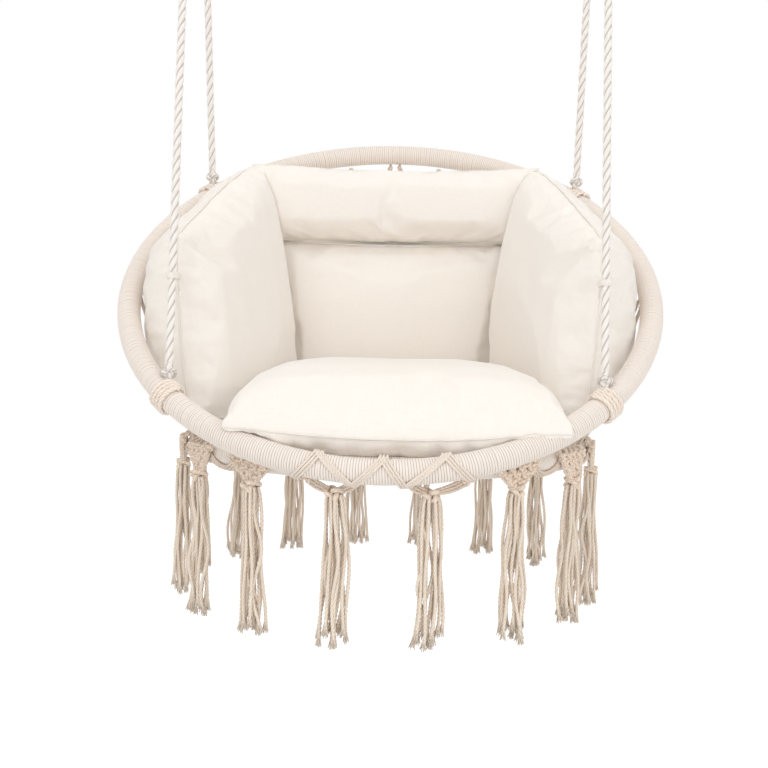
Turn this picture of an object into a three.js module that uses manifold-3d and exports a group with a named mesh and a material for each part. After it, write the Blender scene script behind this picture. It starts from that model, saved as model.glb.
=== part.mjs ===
// Hammock chair: two cord-wound steel hoops, a basket of knotted net with tassels, five cushions
// and four suspension ropes. Millimetres, +Z up. The chair faces -Y, and left is the side at -X.
// The origin is midway between the two hanging rings, on the line of their bottom wires,
// about which the chair swings, and the chair's balance point lies under that line.

import * as THREE from 'three';
import { mergeVertices } from 'three/addons/utils/BufferGeometryUtils.js';
import Module from 'manifold-3d';

const wasm = await Module();
wasm.setup();

// Clearances
const clearance = 0.3;
const netClearance = 0.5;
const cushionClearance = 0.6;

// Hanging line, from the centre of the upper hoop
const hangSpan = 614;
const hangDrop = 790;
const hangSetback = 49.9;

// Upper hoop
const bigHoopWidth = 800;
const bigHoopTilt = THREE.MathUtils.degToRad(39);
const bigWindingDiameter = 33;
const bigTubeDiameter = 25;

// Lower hoop
const smallHoopWidth = 600;
const smallWindingDiameter = 30;
const smallTubeDiameter = 22;
const hoopFrontSpace = 1.5;

// Both hoops
const tubeWall = 1.5;
const hoopJoint = 0.8;
const windingSides = 8;
const tubeSides = 6;
const bigHoopSteps = 36;
const smallHoopSteps = 32;

// Hanging rings
const hangRingRadius = 28;
const hangRingWire = 8;
const hangRingSteps = 20;
const hangRingSides = 6;

// Suspension ropes, their eyes and their hitches
const ropeDiameter = 12;
const ropeSides = 8;
const ropeSteps = 12;
const eyeRadius = 12;
const eyeSides = 6;
const eyeSteps = 12;
const eyeStrand = 10;
const eyePlay = 0.9;
const eyeSpacing = 13;
const eyeReach = 46;
const whippingDiameter = 14;
const frontHitchAngle = THREE.MathUtils.degToRad(48);
const rearHitchAngle = THREE.MathUtils.degToRad(128);
const hitchReach = 44;
const hitchWidth = 24;
const hitchThickness = 10;
const hitchKnotDiameter = 19;
const hitchGroove = 3;
const hitchTurnWidth = 6;
const hitchSteps = 8;

// Net
const netCord = 5;
const netKnot = 12;
const seatNetSag = 30;
const seatNetColumns = 12;
const seatNetRadiusShares = [1, 0.76, 0.54, 0.33, 0.15];
const dishRadiusShares = [1, 0.5, 0.05];
const basketNets = [
  { name: 'front_net', from: 52, to: 90, columns: 3, rows: 2 },
  { name: 'side_net', from: 90, to: 135, columns: 4, rows: 4 },
  { name: 'back_net', from: 135, to: 180, columns: 4, rows: 6 },
];

// Front lashing
const lashingWidth = 12;
const lashingThickness = 4.5;
const lashingPlaceShares = [-0.282, -0.11, 0.047, 0.282];
const lashingCornerSteps = 3;

// Tassels
const tasselCount = 16;
const tasselSkirtLength = 191;
const tasselKnotDrop = 29;
const tasselPanelRise = 6;
const tasselPanelWidth = 60;
const tasselPanelDepth = 10;
const tasselPanelFootWidth = 45;
const tasselThroatDepth = 12;
const tasselKnotWidth = 26;
const tasselKnotDepth = 23.4;
const tasselNeckWidth = 19;
const tasselSkirtWidth = 30;
const tasselSkirtDepth = 25.5;
const tasselEndWidth = 42;
const tasselEndDepth = 33.6;
const tasselPoints = 8;
const tasselLobeShare = 0.12;
const tasselThroatDropShare = 0.7;
const tasselNeckDropShare = 0.04;
const tasselSkirtDropShare = 0.6;

// Cushions
const seatTopCrown = 92;
const seatBottomCrown = 52;
const seatBend = 14;
const backCushionFrontCrown = 60;
const backCushionRearCrown = 48;
const backCushionBend = 28;
const headRollFrontCrown = 68;
const headRollRearCrown = 40;
const headRollBend = 60;
const wingInnerCrown = 45;
const wingOuterCrown = 92;
const fullCrown = { power: 4, root: 0.4 };
const softCrown = { power: 2.5, root: 0.5 };
const seatLift = 250;
const seatLiftDrop = 24;
const seatLiftSteps = 10;

// Fabric ties
const tieBandHeight = 9;
const tieBandWall = 2;
const tieStrapThickness = 2;
const tieStrapLength = 75;
const tieEdgeShare = 0.768;

// Places worked out from the sizes above
const bigHoopRadius = (bigHoopWidth - bigWindingDiameter) / 2;
const smallHoopRadius = (smallHoopWidth - smallWindingDiameter) / 2;
const smallHoopDrop = bigHoopRadius * Math.sin(bigHoopTilt);
const windingPitch = (bigWindingDiameter + smallWindingDiameter) / 2 + hoopFrontSpace;
const smallHoopSetback = smallHoopRadius - bigHoopRadius * Math.cos(bigHoopTilt) + windingPitch;
const smallHoopCentre = new THREE.Vector3(0, smallHoopSetback, -smallHoopDrop);
const smallHoopSagitta = smallHoopRadius * (1 - Math.cos(Math.PI / smallHoopSteps));
const seatNetRadius = smallHoopRadius - smallWindingDiameter / 2 - smallHoopSagitta - clearance;
const widestNetStep = Math.max(...basketNets.map(({ from, to, columns }) => (to - from) / columns));
const netSagitta = bigHoopRadius * (1 - Math.cos(THREE.MathUtils.degToRad(widestNetStep) / 2));

// Corners of the cushions' middle surfaces, as shares of the upper hoop's radius
const seatCornerShares = [
  [-0.525, -0.715, -0.505],
  [0.62, -0.69, -0.508],
  [0.43, 0.45, -0.51],
  [-0.41, 0.45, -0.51],
];
const backCornerShares = [
  [-0.43, 0.575, -0.66],
  [0.43, 0.575, -0.66],
  [0.54, 0.585, 0.211],
  [-0.54, 0.585, 0.211],
];
const headCornerShares = [
  [-0.54, 0.54, 0.211],
  [0.54, 0.54, 0.211],
  [0.64, 0.535, 0.542],
  [-0.64, 0.535, 0.542],
];
const wingCornerShares = [
  [-0.69, -0.385, -0.51],
  [-0.43, 0.443, -0.53],
  [-0.61, 0.542, 0.54],
  [-0.77, -0.28, 0.149],
];

// Materials
function material(color, roughness, metalness = 0) {
  return new THREE.MeshStandardMaterial({ color, roughness, metalness });
}

const windingCotton = material(0xe9dccb, 0.92);
const ropeCotton = material(0xefe6d9, 0.9);
const netCotton = material(0xcfbca7, 0.93);
const cushionCloth = material(0xf6efdf, 0.95);
const tubeSteel = material(0x8d9094, 0.45, 0.8);
const ringSteel = material(0xb9bcc0, 0.3, 0.9);

// Places on the hoops, with the angle from the front towards +X, from the upper hoop's centre
function bigHoopPoint(angle, radius = bigHoopRadius) {
  const forward = radius * Math.cos(angle);
  return new THREE.Vector3(
    radius * Math.sin(angle),
    -forward * Math.cos(bigHoopTilt),
    -forward * Math.sin(bigHoopTilt),
  );
}

function smallHoopPoint(angle, radius = smallHoopRadius) {
  const flat = new THREE.Vector3(radius * Math.sin(angle), -radius * Math.cos(angle), 0);
  return flat.add(smallHoopCentre);
}

// The radius of a regular polygon at an angle from one of its corners
function facetRadius(radius, sides, angle) {
  const step = (2 * Math.PI) / sides;
  const fromMiddle = (((angle % step) + step) % step) - step / 2;
  return (radius * Math.cos(step / 2)) / Math.cos(fromMiddle);
}

// Closed meshes with shared corners, and the way to and from boolean solids
function closedMesh(geometry) {
  const plain = new THREE.BufferGeometry();
  plain.setAttribute('position', geometry.getAttribute('position'));
  plain.setIndex(geometry.getIndex());
  return mergeVertices(plain);
}

function solidOf(geometry) {
  const plain = closedMesh(geometry);
  return new wasm.Manifold(
    new wasm.Mesh({
      numProp: 3,
      vertProperties: new Float32Array(plain.getAttribute('position').array),
      triVerts: new Uint32Array(plain.getIndex().array),
    }),
  );
}

function geometryOf(solid) {
  const { vertProperties, triVerts } = solid.getMesh();
  const geometry = new THREE.BufferGeometry();
  geometry.setAttribute('position', new THREE.BufferAttribute(vertProperties, 3));
  geometry.setIndex(new THREE.BufferAttribute(triVerts, 1));
  return geometry;
}

function triangleMesh(points, triangles) {
  const geometry = new THREE.BufferGeometry().setFromPoints(points);
  geometry.setIndex(triangles.flat());
  return geometry;
}

function mirrored(geometry) {
  const copy = closedMesh(geometry.clone().scale(-1, 1, 1));
  const corners = Array.from(copy.getIndex().array);
  for (let first = 0; first < corners.length; first += 3) {
    [corners[first + 1], corners[first + 2]] = [corners[first + 2], corners[first + 1]];
  }
  copy.setIndex(corners);
  return copy;
}

function piece(name, geometry, finish) {
  const mesh = new THREE.Mesh(geometry, finish);
  mesh.name = name;
  return mesh;
}

// The left piece's geometry, and its mirror image for the right
function pair(name, geometry, finish) {
  return [
    piece(`left_${name}`, geometry, finish),
    piece(`right_${name}`, mirrored(geometry), finish),
  ];
}

// Closed body through rings of points that run anticlockwise about the way from first to last
function loft(rings) {
  const count = rings[0].length;
  const points = rings.flat();
  const triangles = [];
  const centreOf = (ring) => {
    const sum = new THREE.Vector3();
    ring.forEach((point) => sum.add(point));
    return sum.divideScalar(count);
  };
  for (let ring = 0; ring + 1 < rings.length; ring++) {
    for (let i = 0; i < count; i++) {
      const a = ring * count + i;
      const b = ring * count + ((i + 1) % count);
      triangles.push([a, b, b + count], [a, b + count, a + count]);
    }
  }
  const firstCentre = points.push(centreOf(rings[0])) - 1;
  const lastCentre = points.push(centreOf(rings.at(-1))) - 1;
  const lastRing = (rings.length - 1) * count;
  for (let i = 0; i < count; i++) {
    const next = (i + 1) % count;
    triangles.push([firstCentre, next, i], [lastCentre, lastRing + i, lastRing + next]);
  }
  return triangleMesh(points, triangles);
}

function polygon(radius, sides) {
  return Array.from({ length: sides }, (_, i) => {
    const angle = (2 * Math.PI * i) / sides;
    return new THREE.Vector2(radius * Math.cos(angle), radius * Math.sin(angle));
  });
}

// Hoops: each path starts and ends at the butt joint at the back
class HoopPath extends THREE.Curve {
  constructor(radius) {
    super();
    this.radius = radius;
    this.jointAngle = hoopJoint / radius;
  }

  getPoint(share, target = new THREE.Vector3()) {
    const angle = this.jointAngle / 2 + share * (2 * Math.PI - this.jointAngle);
    return target.set(-this.radius * Math.sin(angle), this.radius * Math.cos(angle), 0);
  }
}

function hollowHoop(radius, steps, outerRadius, outerSides, innerRadius, innerSides) {
  const section = new THREE.Shape(polygon(outerRadius, outerSides));
  section.holes.push(new THREE.Path(polygon(innerRadius, innerSides)));
  return new THREE.ExtrudeGeometry(section, { steps, extrudePath: new HoopPath(radius) });
}

function hoopTube(radius, steps, diameter) {
  const outer = diameter / 2;
  return hollowHoop(radius, steps, outer, tubeSides, outer - tubeWall, tubeSides);
}

function hoopWinding(radius, steps, diameter, tubeDiameter) {
  const inner = tubeDiameter / 2 + clearance / Math.cos(Math.PI / tubeSides);
  return hollowHoop(radius, steps, diameter / 2, windingSides, inner, tubeSides);
}

function hoopSpace(radius, steps, diameter) {
  const sectionRadius = diameter / 2 + clearance / Math.cos(Math.PI / windingSides);
  return new THREE.TorusGeometry(radius, sectionRadius, windingSides, steps);
}

const bigHoopPlace = new THREE.Matrix4().makeRotationX(bigHoopTilt);
const smallHoopPlace = new THREE.Matrix4().setPosition(smallHoopCentre);
const bigHoopSpace = hoopSpace(bigHoopRadius, bigHoopSteps, bigWindingDiameter);
const smallHoopSpace = hoopSpace(smallHoopRadius, smallHoopSteps, smallWindingDiameter);
const placedBigHoopSpace = solidOf(bigHoopSpace.clone().applyMatrix4(bigHoopPlace));
const placedSmallHoopSpace = solidOf(smallHoopSpace.clone().applyMatrix4(smallHoopPlace));

function bigHoop() {
  const group = new THREE.Group();
  group.rotation.x = bigHoopTilt;
  group.add(
    piece('big_hoop_tube', hoopTube(bigHoopRadius, bigHoopSteps, bigTubeDiameter), tubeSteel),
    piece(
      'big_hoop_winding',
      hoopWinding(bigHoopRadius, bigHoopSteps, bigWindingDiameter, bigTubeDiameter),
      windingCotton,
    ),
  );
  return group;
}

function smallHoop() {
  const group = new THREE.Group();
  group.position.copy(smallHoopCentre);
  group.add(
    piece('small_hoop_tube', hoopTube(smallHoopRadius, smallHoopSteps, smallTubeDiameter), tubeSteel),
    piece(
      'small_hoop_winding',
      hoopWinding(smallHoopRadius, smallHoopSteps, smallWindingDiameter, smallTubeDiameter),
      windingCotton,
    ),
  );
  return group;
}

// Hanging rings: each stands in the XZ plane with its bottom wire on the hanging line
function hangRings() {
  const ring = new THREE.TorusGeometry(hangRingRadius, hangRingWire / 2, hangRingSides, hangRingSteps);
  ring.rotateX(Math.PI / 2);
  return ['left', 'right'].map((side) => {
    const mesh = piece(`${side}_hang_ring`, ring, ringSteel);
    mesh.position.set(side === 'left' ? -hangSpan / 2 : hangSpan / 2, 0, hangRingRadius);
    return mesh;
  });
}

// Rope ends: the front rope's eye lies outside the rear rope's on the same ring
const ropeEnds = {
  front: { eyeX: -(hangSpan + eyeSpacing) / 2, hitchAngle: -frontHitchAngle },
  rear: { eyeX: -(hangSpan - eyeSpacing) / 2, hitchAngle: -rearHitchAngle },
};

function hitchPoint(end) {
  const point = bigHoopPoint(end.hitchAngle);
  return point.add(new THREE.Vector3(0, -hangSetback, -hangDrop));
}

// An eye: a loop round the ring's bottom wire and a whipping where the strands join
function ropeEye(end) {
  const wireRise = hangRingRadius - Math.sqrt(hangRingRadius ** 2 - (eyeSpacing / 2) ** 2);
  const eyeHole = eyeRadius - eyeStrand / 2;
  const eyeDrop = eyeHole - hangRingWire / 2 - wireRise - eyePlay;
  const loop = new THREE.TorusGeometry(eyeRadius, eyeStrand / 2, eyeSides, eyeSteps);
  loop.rotateY(Math.PI / 2);
  loop.translate(0, 0, -eyeDrop);
  const whippingTop = eyeDrop + eyeRadius;
  const whippingLength = eyeReach - whippingTop;
  const whipping = new THREE.CylinderGeometry(
    whippingDiameter / 2, whippingDiameter / 2, whippingLength, ropeSides,
  );
  whipping.rotateX(Math.PI / 2);
  whipping.translate(0, 0, -whippingTop - whippingLength / 2);
  const geometry = geometryOf(solidOf(loop).add(solidOf(whipping)));
  const hitch = hitchPoint(end);
  geometry.rotateX(Math.atan2(hitch.y, -hitch.z));
  geometry.translate(end.eyeX, 0, 0);
  return geometry;
}

// Routes of the left ropes, from the whipping of the eye to the knot of the hitch
const frontRopeRoute = [
  [-313.5, -11.7, -44.8], [-311.6, -27.9, -106.5], [-309.6, -44.0, -168.2],
  [-307.7, -60.2, -229.9], [-305.7, -76.4, -291.6], [-303.8, -92.6, -353.3],
  [-301.8, -108.7, -415.0], [-299.9, -124.9, -476.8], [-298.0, -141.1, -538.5],
  [-296.0, -157.2, -600.2], [-294.1, -173.4, -661.9], [-292.1, -189.6, -723.6],
  [-290.2, -205.8, -785.3], [-288.2, -221.9, -847.0], [-286.3, -238.1, -908.7],
];
const rearRopeRoute = [
  [-300.5, 9.4, -45.3], [-300.6, 17.6, -84.8], [-300.7, 25.9, -124.3],
  [-300.8, 34.1, -163.7], [-301.0, 42.3, -203.2], [-301.1, 50.5, -242.7],
  [-301.2, 58.8, -282.2], [-301.3, 67.0, -321.7], [-301.4, 75.2, -361.1],
  [-301.5, 83.5, -400.6], [-301.6, 91.7, -440.1], [-301.8, 99.9, -479.6],
  [-301.9, 108.1, -519.0], [-302.0, 116.4, -558.5], [-302.1, 124.6, -598.0],
];

function rope(route) {
  const path = new THREE.CatmullRomCurve3(route.map((point) => new THREE.Vector3(...point)));
  const section = new THREE.Shape(polygon(ropeDiameter / 2, ropeSides));
  return new THREE.ExtrudeGeometry(section, { steps: ropeSteps, extrudePath: path });
}

// A hitch: two turns of rope round the winding and a knot that stands towards the rope.
// It is made in the upper hoop's own frame, where the hoop lies flat.
function hitchForm(end, grow = 0) {
  const angle = end.hitchAngle;
  const centre = new THREE.Vector3(
    bigHoopRadius * Math.sin(angle), -bigHoopRadius * Math.cos(angle), 0,
  );
  const inner = bigWindingDiameter / 2;
  const outer = inner + hitchThickness + grow;
  const half = hitchWidth / 2 + grow;
  const turnEdge = (half - hitchTurnWidth) / 2;
  const profile = [
    [inner, -half],
    [outer, -half + turnEdge],
    [outer, -turnEdge],
    [outer - hitchGroove, 0],
    [outer, turnEdge],
    [outer, half - turnEdge],
    [inner, half],
    [inner, -half],
  ];
  const outline = profile.map((point) => new THREE.Vector2(...point));
  const turns = new THREE.LatheGeometry(outline, hitchSteps);
  turns.rotateZ(angle - Math.PI / 2);
  turns.translate(centre.x, centre.y, centre.z);

  const towardsEye = new THREE.Vector3(end.eyeX, 0, 0).sub(hitchPoint(end)).normalize();
  const localWay = towardsEye.applyAxisAngle(new THREE.Vector3(1, 0, 0), -bigHoopTilt);
  const knotRadius = hitchKnotDiameter / 2 + grow;
  const reach = hitchReach + grow;
  const knot = new THREE.CylinderGeometry(knotRadius, knotRadius, reach, ropeSides);
  knot.translate(0, reach / 2, 0);
  const turn = new THREE.Quaternion().setFromUnitVectors(new THREE.Vector3(0, 1, 0), localWay);
  knot.applyQuaternion(turn);
  knot.translate(centre.x, centre.y, centre.z);
  return solidOf(turns).add(solidOf(knot));
}

function hitch(end) {
  return geometryOf(hitchForm(end).subtract(solidOf(bigHoopSpace)));
}

// Net: knots on a lattice, each odd row half a column on, with a flat bar of cord between knots.
// place(column, row) gives a knot's centre, its east, north and outward directions.
function netGeometry(rows, columns, closed, place) {
  const points = [];
  const triangles = [];
  const depth = [netCord / 2, -netCord / 2];
  const knots = new Map();
  const columnsIn = (row) => (closed ? columns : columns + 1 - (row % 2));
  for (let row = 0; row <= rows; row++) {
    for (let column = 0; column < columnsIn(row); column++) {
      const { centre, east, north, out } = place(column + (row % 2) / 2, row);
      const arms = { e: east, n: north, w: east.clone().negate(), s: north.clone().negate() };
      const knot = {};
      for (const [arm, way] of Object.entries(arms)) {
        const corner = centre.clone().addScaledVector(way, netKnot / 2);
        knot[arm] = depth.map((rise) => points.push(corner.clone().addScaledVector(out, rise)) - 1);
      }
      knots.set(`${row}:${column}`, knot);
    }
  }
  const knotAt = (column, row) => {
    const wrapped = closed ? (column + columns) % columns : column;
    return knots.get(`${row}:${wrapped}`);
  };
  const face = (corners) => {
    for (let i = 1; i + 1 < corners.length; i++) {
      triangles.push([corners[0][0], corners[i][0], corners[i + 1][0]]);
      triangles.push([corners[0][1], corners[i + 1][1], corners[i][1]]);
    }
  };
  const wall = (from, to) => {
    triangles.push([to[0], from[0], from[1]], [to[0], from[1], to[1]]);
  };
  for (let row = 0; row <= rows; row++) {
    const odd = row % 2;
    for (let column = 0; column < columnsIn(row); column++) {
      const knot = knotAt(column, row);
      face([knot.e, knot.n, knot.w, knot.s]);
      const below = { right: knotAt(column + odd, row + 1), left: knotAt(column + odd - 1, row + 1) };
      const above = { right: knotAt(column + odd, row - 1), left: knotAt(column + odd - 1, row - 1) };
      if (below.right) {
        face([knot.s, below.right.w, below.right.n, knot.e]);
        wall(knot.s, below.right.w);
        wall(below.right.n, knot.e);
      } else {
        wall(knot.s, knot.e);
      }
      if (below.left) {
        face([knot.w, below.left.n, below.left.e, knot.s]);
        wall(knot.w, below.left.n);
        wall(below.left.e, knot.s);
      } else {
        wall(knot.w, knot.s);
      }
      if (!above.right) wall(knot.e, knot.n);
      if (!above.left) wall(knot.n, knot.w);
    }
  }
  return triangleMesh(points, triangles);
}

// How far a winding's section reaches from its centre, on a way at an angle from one of its
// corners, under the whole depth of a net cord
function windingReach(diameter, angle) {
  const step = (2 * Math.PI) / windingSides;
  const tilt = Math.abs((((angle % step) + step) % step) - step / 2);
  const toCorner = step / 2 - tilt;
  const radius = diameter / 2;
  if (radius * Math.sin(toCorner) <= netCord / 2) return radius * Math.cos(toCorner);
  return (radius * Math.cos(step / 2)) / Math.cos(tilt) + (netCord / 2) * Math.tan(tilt);
}

// The basket's net lies on the straight lines between the two hoops at the same angle
function basketLine(angle) {
  const top = bigHoopPoint(angle, facetRadius(bigHoopRadius, bigHoopSteps, angle));
  const bottom = smallHoopPoint(angle, facetRadius(smallHoopRadius, smallHoopSteps, angle));
  const length = top.distanceTo(bottom);
  const north = top.clone().sub(bottom).normalize();
  const bigWay = bigHoopPoint(angle + Math.PI / 2).normalize();
  const smallWay = new THREE.Vector3(Math.cos(angle), Math.sin(angle), 0);
  const out = bigWay.clone().add(smallWay).cross(north).normalize();
  const east = north.clone().cross(out).normalize();
  const reach = (way, radialWay, diameter) => {
    const sine = way.clone().cross(north).length();
    const lean = Math.abs(way.dot(north)) / sine;
    const slope = Math.atan2(radialWay.clone().cross(way).dot(north), radialWay.dot(north));
    const radius = windingReach(diameter, slope) + netClearance;
    return radius / sine + (netKnot / 2) * Math.max(1, lean);
  };
  const smallRadialWay = new THREE.Vector3(Math.sin(angle), -Math.cos(angle), 0);
  const topReach = reach(bigWay, top.clone().normalize(), bigWindingDiameter);
  const bottomReach = reach(smallWay, smallRadialWay, smallWindingDiameter);
  return { top, bottom, length, north, out, east, topReach, bottomReach };
}

function basketNet(fromAngle, toAngle, columns, rows) {
  const edge = (netKnot + clearance) / 2 / smallHoopRadius;
  return netGeometry(rows, columns, false, (column, row) => {
    const share = column / columns;
    const angle = fromAngle + edge + (toAngle - fromAngle - 2 * edge) * share;
    const line = basketLine(angle);
    const span = line.length - line.topReach - line.bottomReach;
    const distance = line.topReach + (span * row) / rows;
    const centre = line.top.clone().addScaledVector(line.north, -distance);
    return { centre, east: line.east, north: line.north, out: line.out };
  });
}

// The seat net hangs in the lower hoop as a shallow dish
function seatNetHeight(radius) {
  return -smallHoopDrop - seatNetSag * (1 - (radius / seatNetRadius) ** 2);
}

function seatNetPoint(angle, radius, lift = 0) {
  const point = smallHoopPoint(angle, radius);
  point.z = seatNetHeight(radius) + lift;
  return point;
}

function seatNet() {
  const rows = seatNetRadiusShares.length - 1;
  return netGeometry(rows, seatNetColumns, true, (column, row) => {
    const angle = (-2 * Math.PI * column) / seatNetColumns;
    const reach = (seatNetRadius - netKnot / 2) * seatNetRadiusShares[row];
    const inner = seatNetPoint(angle, reach - netKnot / 2);
    const outer = seatNetPoint(angle, reach + netKnot / 2);
    const north = outer.clone().sub(inner).normalize();
    const east = new THREE.Vector3(-Math.cos(angle), -Math.sin(angle), 0);
    const out = east.clone().cross(north);
    return { centre: inner.lerp(outer, 0.5), east, north, out };
  });
}

// Front lashing: a band round both hoops where they lie side by side
function lashingBand(placeShare, grow = 0) {
  const x = bigHoopRadius * placeShare;
  const bigCentre = bigHoopPoint(Math.asin(x / bigHoopRadius));
  const smallCentre = smallHoopPoint(Math.asin(x / smallHoopRadius));
  const outline = [];
  const arc = (centre, radius, fromAngle, toAngle) => {
    for (let i = 0; i <= lashingCornerSteps; i++) {
      const angle = fromAngle + ((toAngle - fromAngle) * i) / lashingCornerSteps;
      outline.push(
        new THREE.Vector2(centre.y + radius * Math.cos(angle), centre.z + radius * Math.sin(angle)),
      );
    }
  };
  const slope = Math.atan2(bigCentre.z - smallCentre.z, smallCentre.y - bigCentre.y);
  const bigSlant = bigWindingDiameter / 2 / Math.cos(Math.asin(placeShare));
  const smallSlant = smallWindingDiameter / 2 / Math.cos(Math.asin(x / smallHoopRadius));
  const thickness = lashingThickness + grow;
  arc(smallCentre, smallSlant + thickness, -Math.PI / 2 - slope, Math.PI / 2 - slope);
  arc(bigCentre, bigSlant + thickness, Math.PI / 2 - slope, (3 * Math.PI) / 2 - slope);
  const depth = lashingWidth + 2 * grow;
  const band = new THREE.ExtrudeGeometry(new THREE.Shape(outline), { depth, bevelEnabled: false });
  band.translate(0, 0, -depth / 2);
  // The outline's two axes are Y and Z, and it is drawn out along X
  band.applyMatrix4(new THREE.Matrix4().makeBasis(
    new THREE.Vector3(0, 1, 0), new THREE.Vector3(0, 0, 1), new THREE.Vector3(1, 0, 0),
  ));
  band.translate(x, 0, 0);
  return solidOf(band);
}

function clearOfHoops(solid) {
  return solid.subtract(placedBigHoopSpace).subtract(placedSmallHoopSpace);
}

function clearOfLashings(solid, space = clearance) {
  return lashingPlaceShares.reduce(
    (rest, share) => rest.subtract(lashingBand(share, space)), solid,
  );
}

// The biggest body of a cut, without the slivers that the cut sets free
function mainBody(solid) {
  const bodies = solid.decompose();
  bodies.sort((one, other) => other.volume() - one.volume());
  return geometryOf(bodies[0]);
}

// A tassel at the front of the lower hoop: knotted panel, knot, neck and skirt of cords
function tassel() {
  const panelCentre = -(smallHoopRadius + smallWindingDiameter / 2 + clearance + tasselPanelDepth / 2);
  const knotHeight = -tasselKnotDrop;
  const endHeight = knotHeight - tasselSkirtLength;
  const heightShare = (share) => knotHeight + (endHeight - knotHeight) * share;
  const sections = [
    { z: endHeight, width: tasselEndWidth, depth: tasselEndDepth },
    { z: heightShare(tasselSkirtDropShare), width: tasselSkirtWidth, depth: tasselSkirtDepth },
    { z: heightShare(tasselNeckDropShare), width: tasselNeckWidth, depth: tasselNeckWidth },
    { z: knotHeight, width: tasselKnotWidth, depth: tasselKnotDepth },
    { z: knotHeight * tasselThroatDropShare, width: tasselNeckWidth, depth: tasselThroatDepth },
    { z: -tasselPanelRise, width: tasselPanelFootWidth, depth: tasselPanelDepth },
    { z: tasselPanelRise, width: tasselPanelWidth, depth: tasselPanelDepth },
  ];
  return loft(sections.map(({ z, width, depth }) => polygon(1, tasselPoints).map((point, i) => {
    const reach = i % 2 ? 1 - tasselLobeShare : 1;
    const x = (point.x * width * reach) / 2;
    return new THREE.Vector3(x, panelCentre + (point.y * depth * reach) / 2, z);
  })));
}

// The two front tassels hang from the underside of both hoops, so these cut their panels
function tassels() {
  const group = new THREE.Group();
  const shape = tassel();
  for (let i = 0; i < tasselCount; i++) {
    const name = `tassel_${String(i + 1).padStart(2, '0')}`;
    const turn = (2 * Math.PI * (i + 0.5)) / tasselCount;
    if (i === 0 || i === tasselCount - 1) {
      const placed = shape.clone().rotateZ(turn).applyMatrix4(smallHoopPlace);
      const cut = clearOfLashings(clearOfHoops(solidOf(placed)));
      group.add(piece(name, mainBody(cut), netCotton));
    } else {
      const mesh = piece(name, shape, netCotton);
      mesh.position.copy(smallHoopCentre);
      mesh.rotation.z = turn;
      group.add(mesh);
    }
  }
  return group;
}

// The space inside the basket, just clear of the seat net, the basket net and both windings
function basketSpace() {
  const angles = Array.from({ length: bigHoopSteps }, (_, i) => (2 * Math.PI * i) / bigHoopSteps);
  const lift = netCord / 2 + clearance;
  const dish = dishRadiusShares.map(
    (share) => angles.map((angle) => seatNetPoint(angle, seatNetRadius * share, lift)),
  );
  const overSmall = angles.map((angle) => {
    const point = smallHoopPoint(angle, seatNetRadius);
    point.z += smallWindingDiameter / 2;
    return point;
  });
  const net = (atTop) => angles.map((angle) => {
    const { top, bottom, length, north, out, topReach, bottomReach } = basketLine(angle);
    const distance = Math.min(atTop ? topReach : bottomReach, (length - lift) / 2);
    const point = atTop ? top.addScaledVector(north, -distance) : bottom.addScaledVector(north, distance);
    return point.addScaledVector(out, -lift - netSagitta);
  });
  const insideBig = bigHoopRadius - bigWindingDiameter / 2 - clearance * 2;
  const besideBig = angles.map((angle) => bigHoopPoint(angle, insideBig));
  const above = besideBig.map((point) => new THREE.Vector3(point.x, point.y, bigHoopRadius));
  return loft([...dish.reverse(), overSmall, net(false), net(true), besideBig, above]);
}

// The space under the seat net's upper side, which the seat cushion keeps out of
function underSeatNet() {
  const angles = Array.from({ length: bigHoopSteps }, (_, i) => (2 * Math.PI * i) / bigHoopSteps);
  const lift = netCord / 2 + clearance;
  const dish = dishRadiusShares.map(
    (share) => angles.map((angle) => seatNetPoint(angle, seatNetRadius * share, lift)),
  );
  const below = dish[0].map((point) => new THREE.Vector3(point.x, point.y, point.z - smallHoopRadius));
  return solidOf(loft([below, ...dish]));
}

// The way that the upper hoop leaves below it, so that the seat cushion lifts straight off it
function clearBelowHoop(solid) {
  let rest = solid;
  for (let step = 1; step <= seatLiftSteps; step++) {
    const drop = (seatLiftDrop * step) / seatLiftSteps;
    const lower = bigHoopSpace.clone().applyMatrix4(bigHoopPlace).translate(0, 0, -drop);
    rest = rest.subtract(solidOf(lower));
  }
  return rest;
}

// The middle surface of a pillow, given by four corners, with u and v from -1 to 1 on it.
// Its sides draw in between the corners, and its middle is pushed back by the bend.
function middleSurface(shape, grow = 0) {
  const corners = shape.cornerShares.map(
    (share) => new THREE.Vector3(...share).multiplyScalar(bigHoopRadius),
  );
  const [a, b, c, d] = corners;
  const normal = c.clone().sub(a).cross(d.clone().sub(b)).normalize();
  const width = a.distanceTo(b);
  const height = b.distanceTo(c);
  const surface = (u, v) => {
    const s = u * (1 - shape.drawInShare * (1 - v * v)) * (1 + (2 * grow) / width);
    const t = v * (1 - shape.drawInShare * (1 - u * u)) * (1 + (2 * grow) / height);
    const low = a.clone().lerp(b, (s + 1) / 2);
    const high = d.clone().lerp(c, (s + 1) / 2);
    return low.lerp(high, (t + 1) / 2).addScaledVector(normal, shape.bend * (u * u - 1));
  };
  return { normal, surface };
}

// The way that the seat cushion takes when it is lifted, straight up from its seam
function seatWay() {
  const { surface } = middleSurface(seatShape, cushionClearance);
  const { across, along } = seatShape;
  const edge = (from, to, steps) => Array.from({ length: steps }, (_, i) => (
    surface(from[0] + ((to[0] - from[0]) * i) / steps, from[1] + ((to[1] - from[1]) * i) / steps)
  ));
  const seam = [
    ...edge([-1, -1], [1, -1], across),
    ...edge([1, -1], [1, 1], along),
    ...edge([1, 1], [-1, 1], across),
    ...edge([-1, 1], [-1, -1], along),
  ];
  const raised = (height) => seam.map((point) => point.clone().setZ(point.z + height));
  return solidOf(loft([seam, raised(seatLift + seatTopCrown)]));
}

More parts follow.
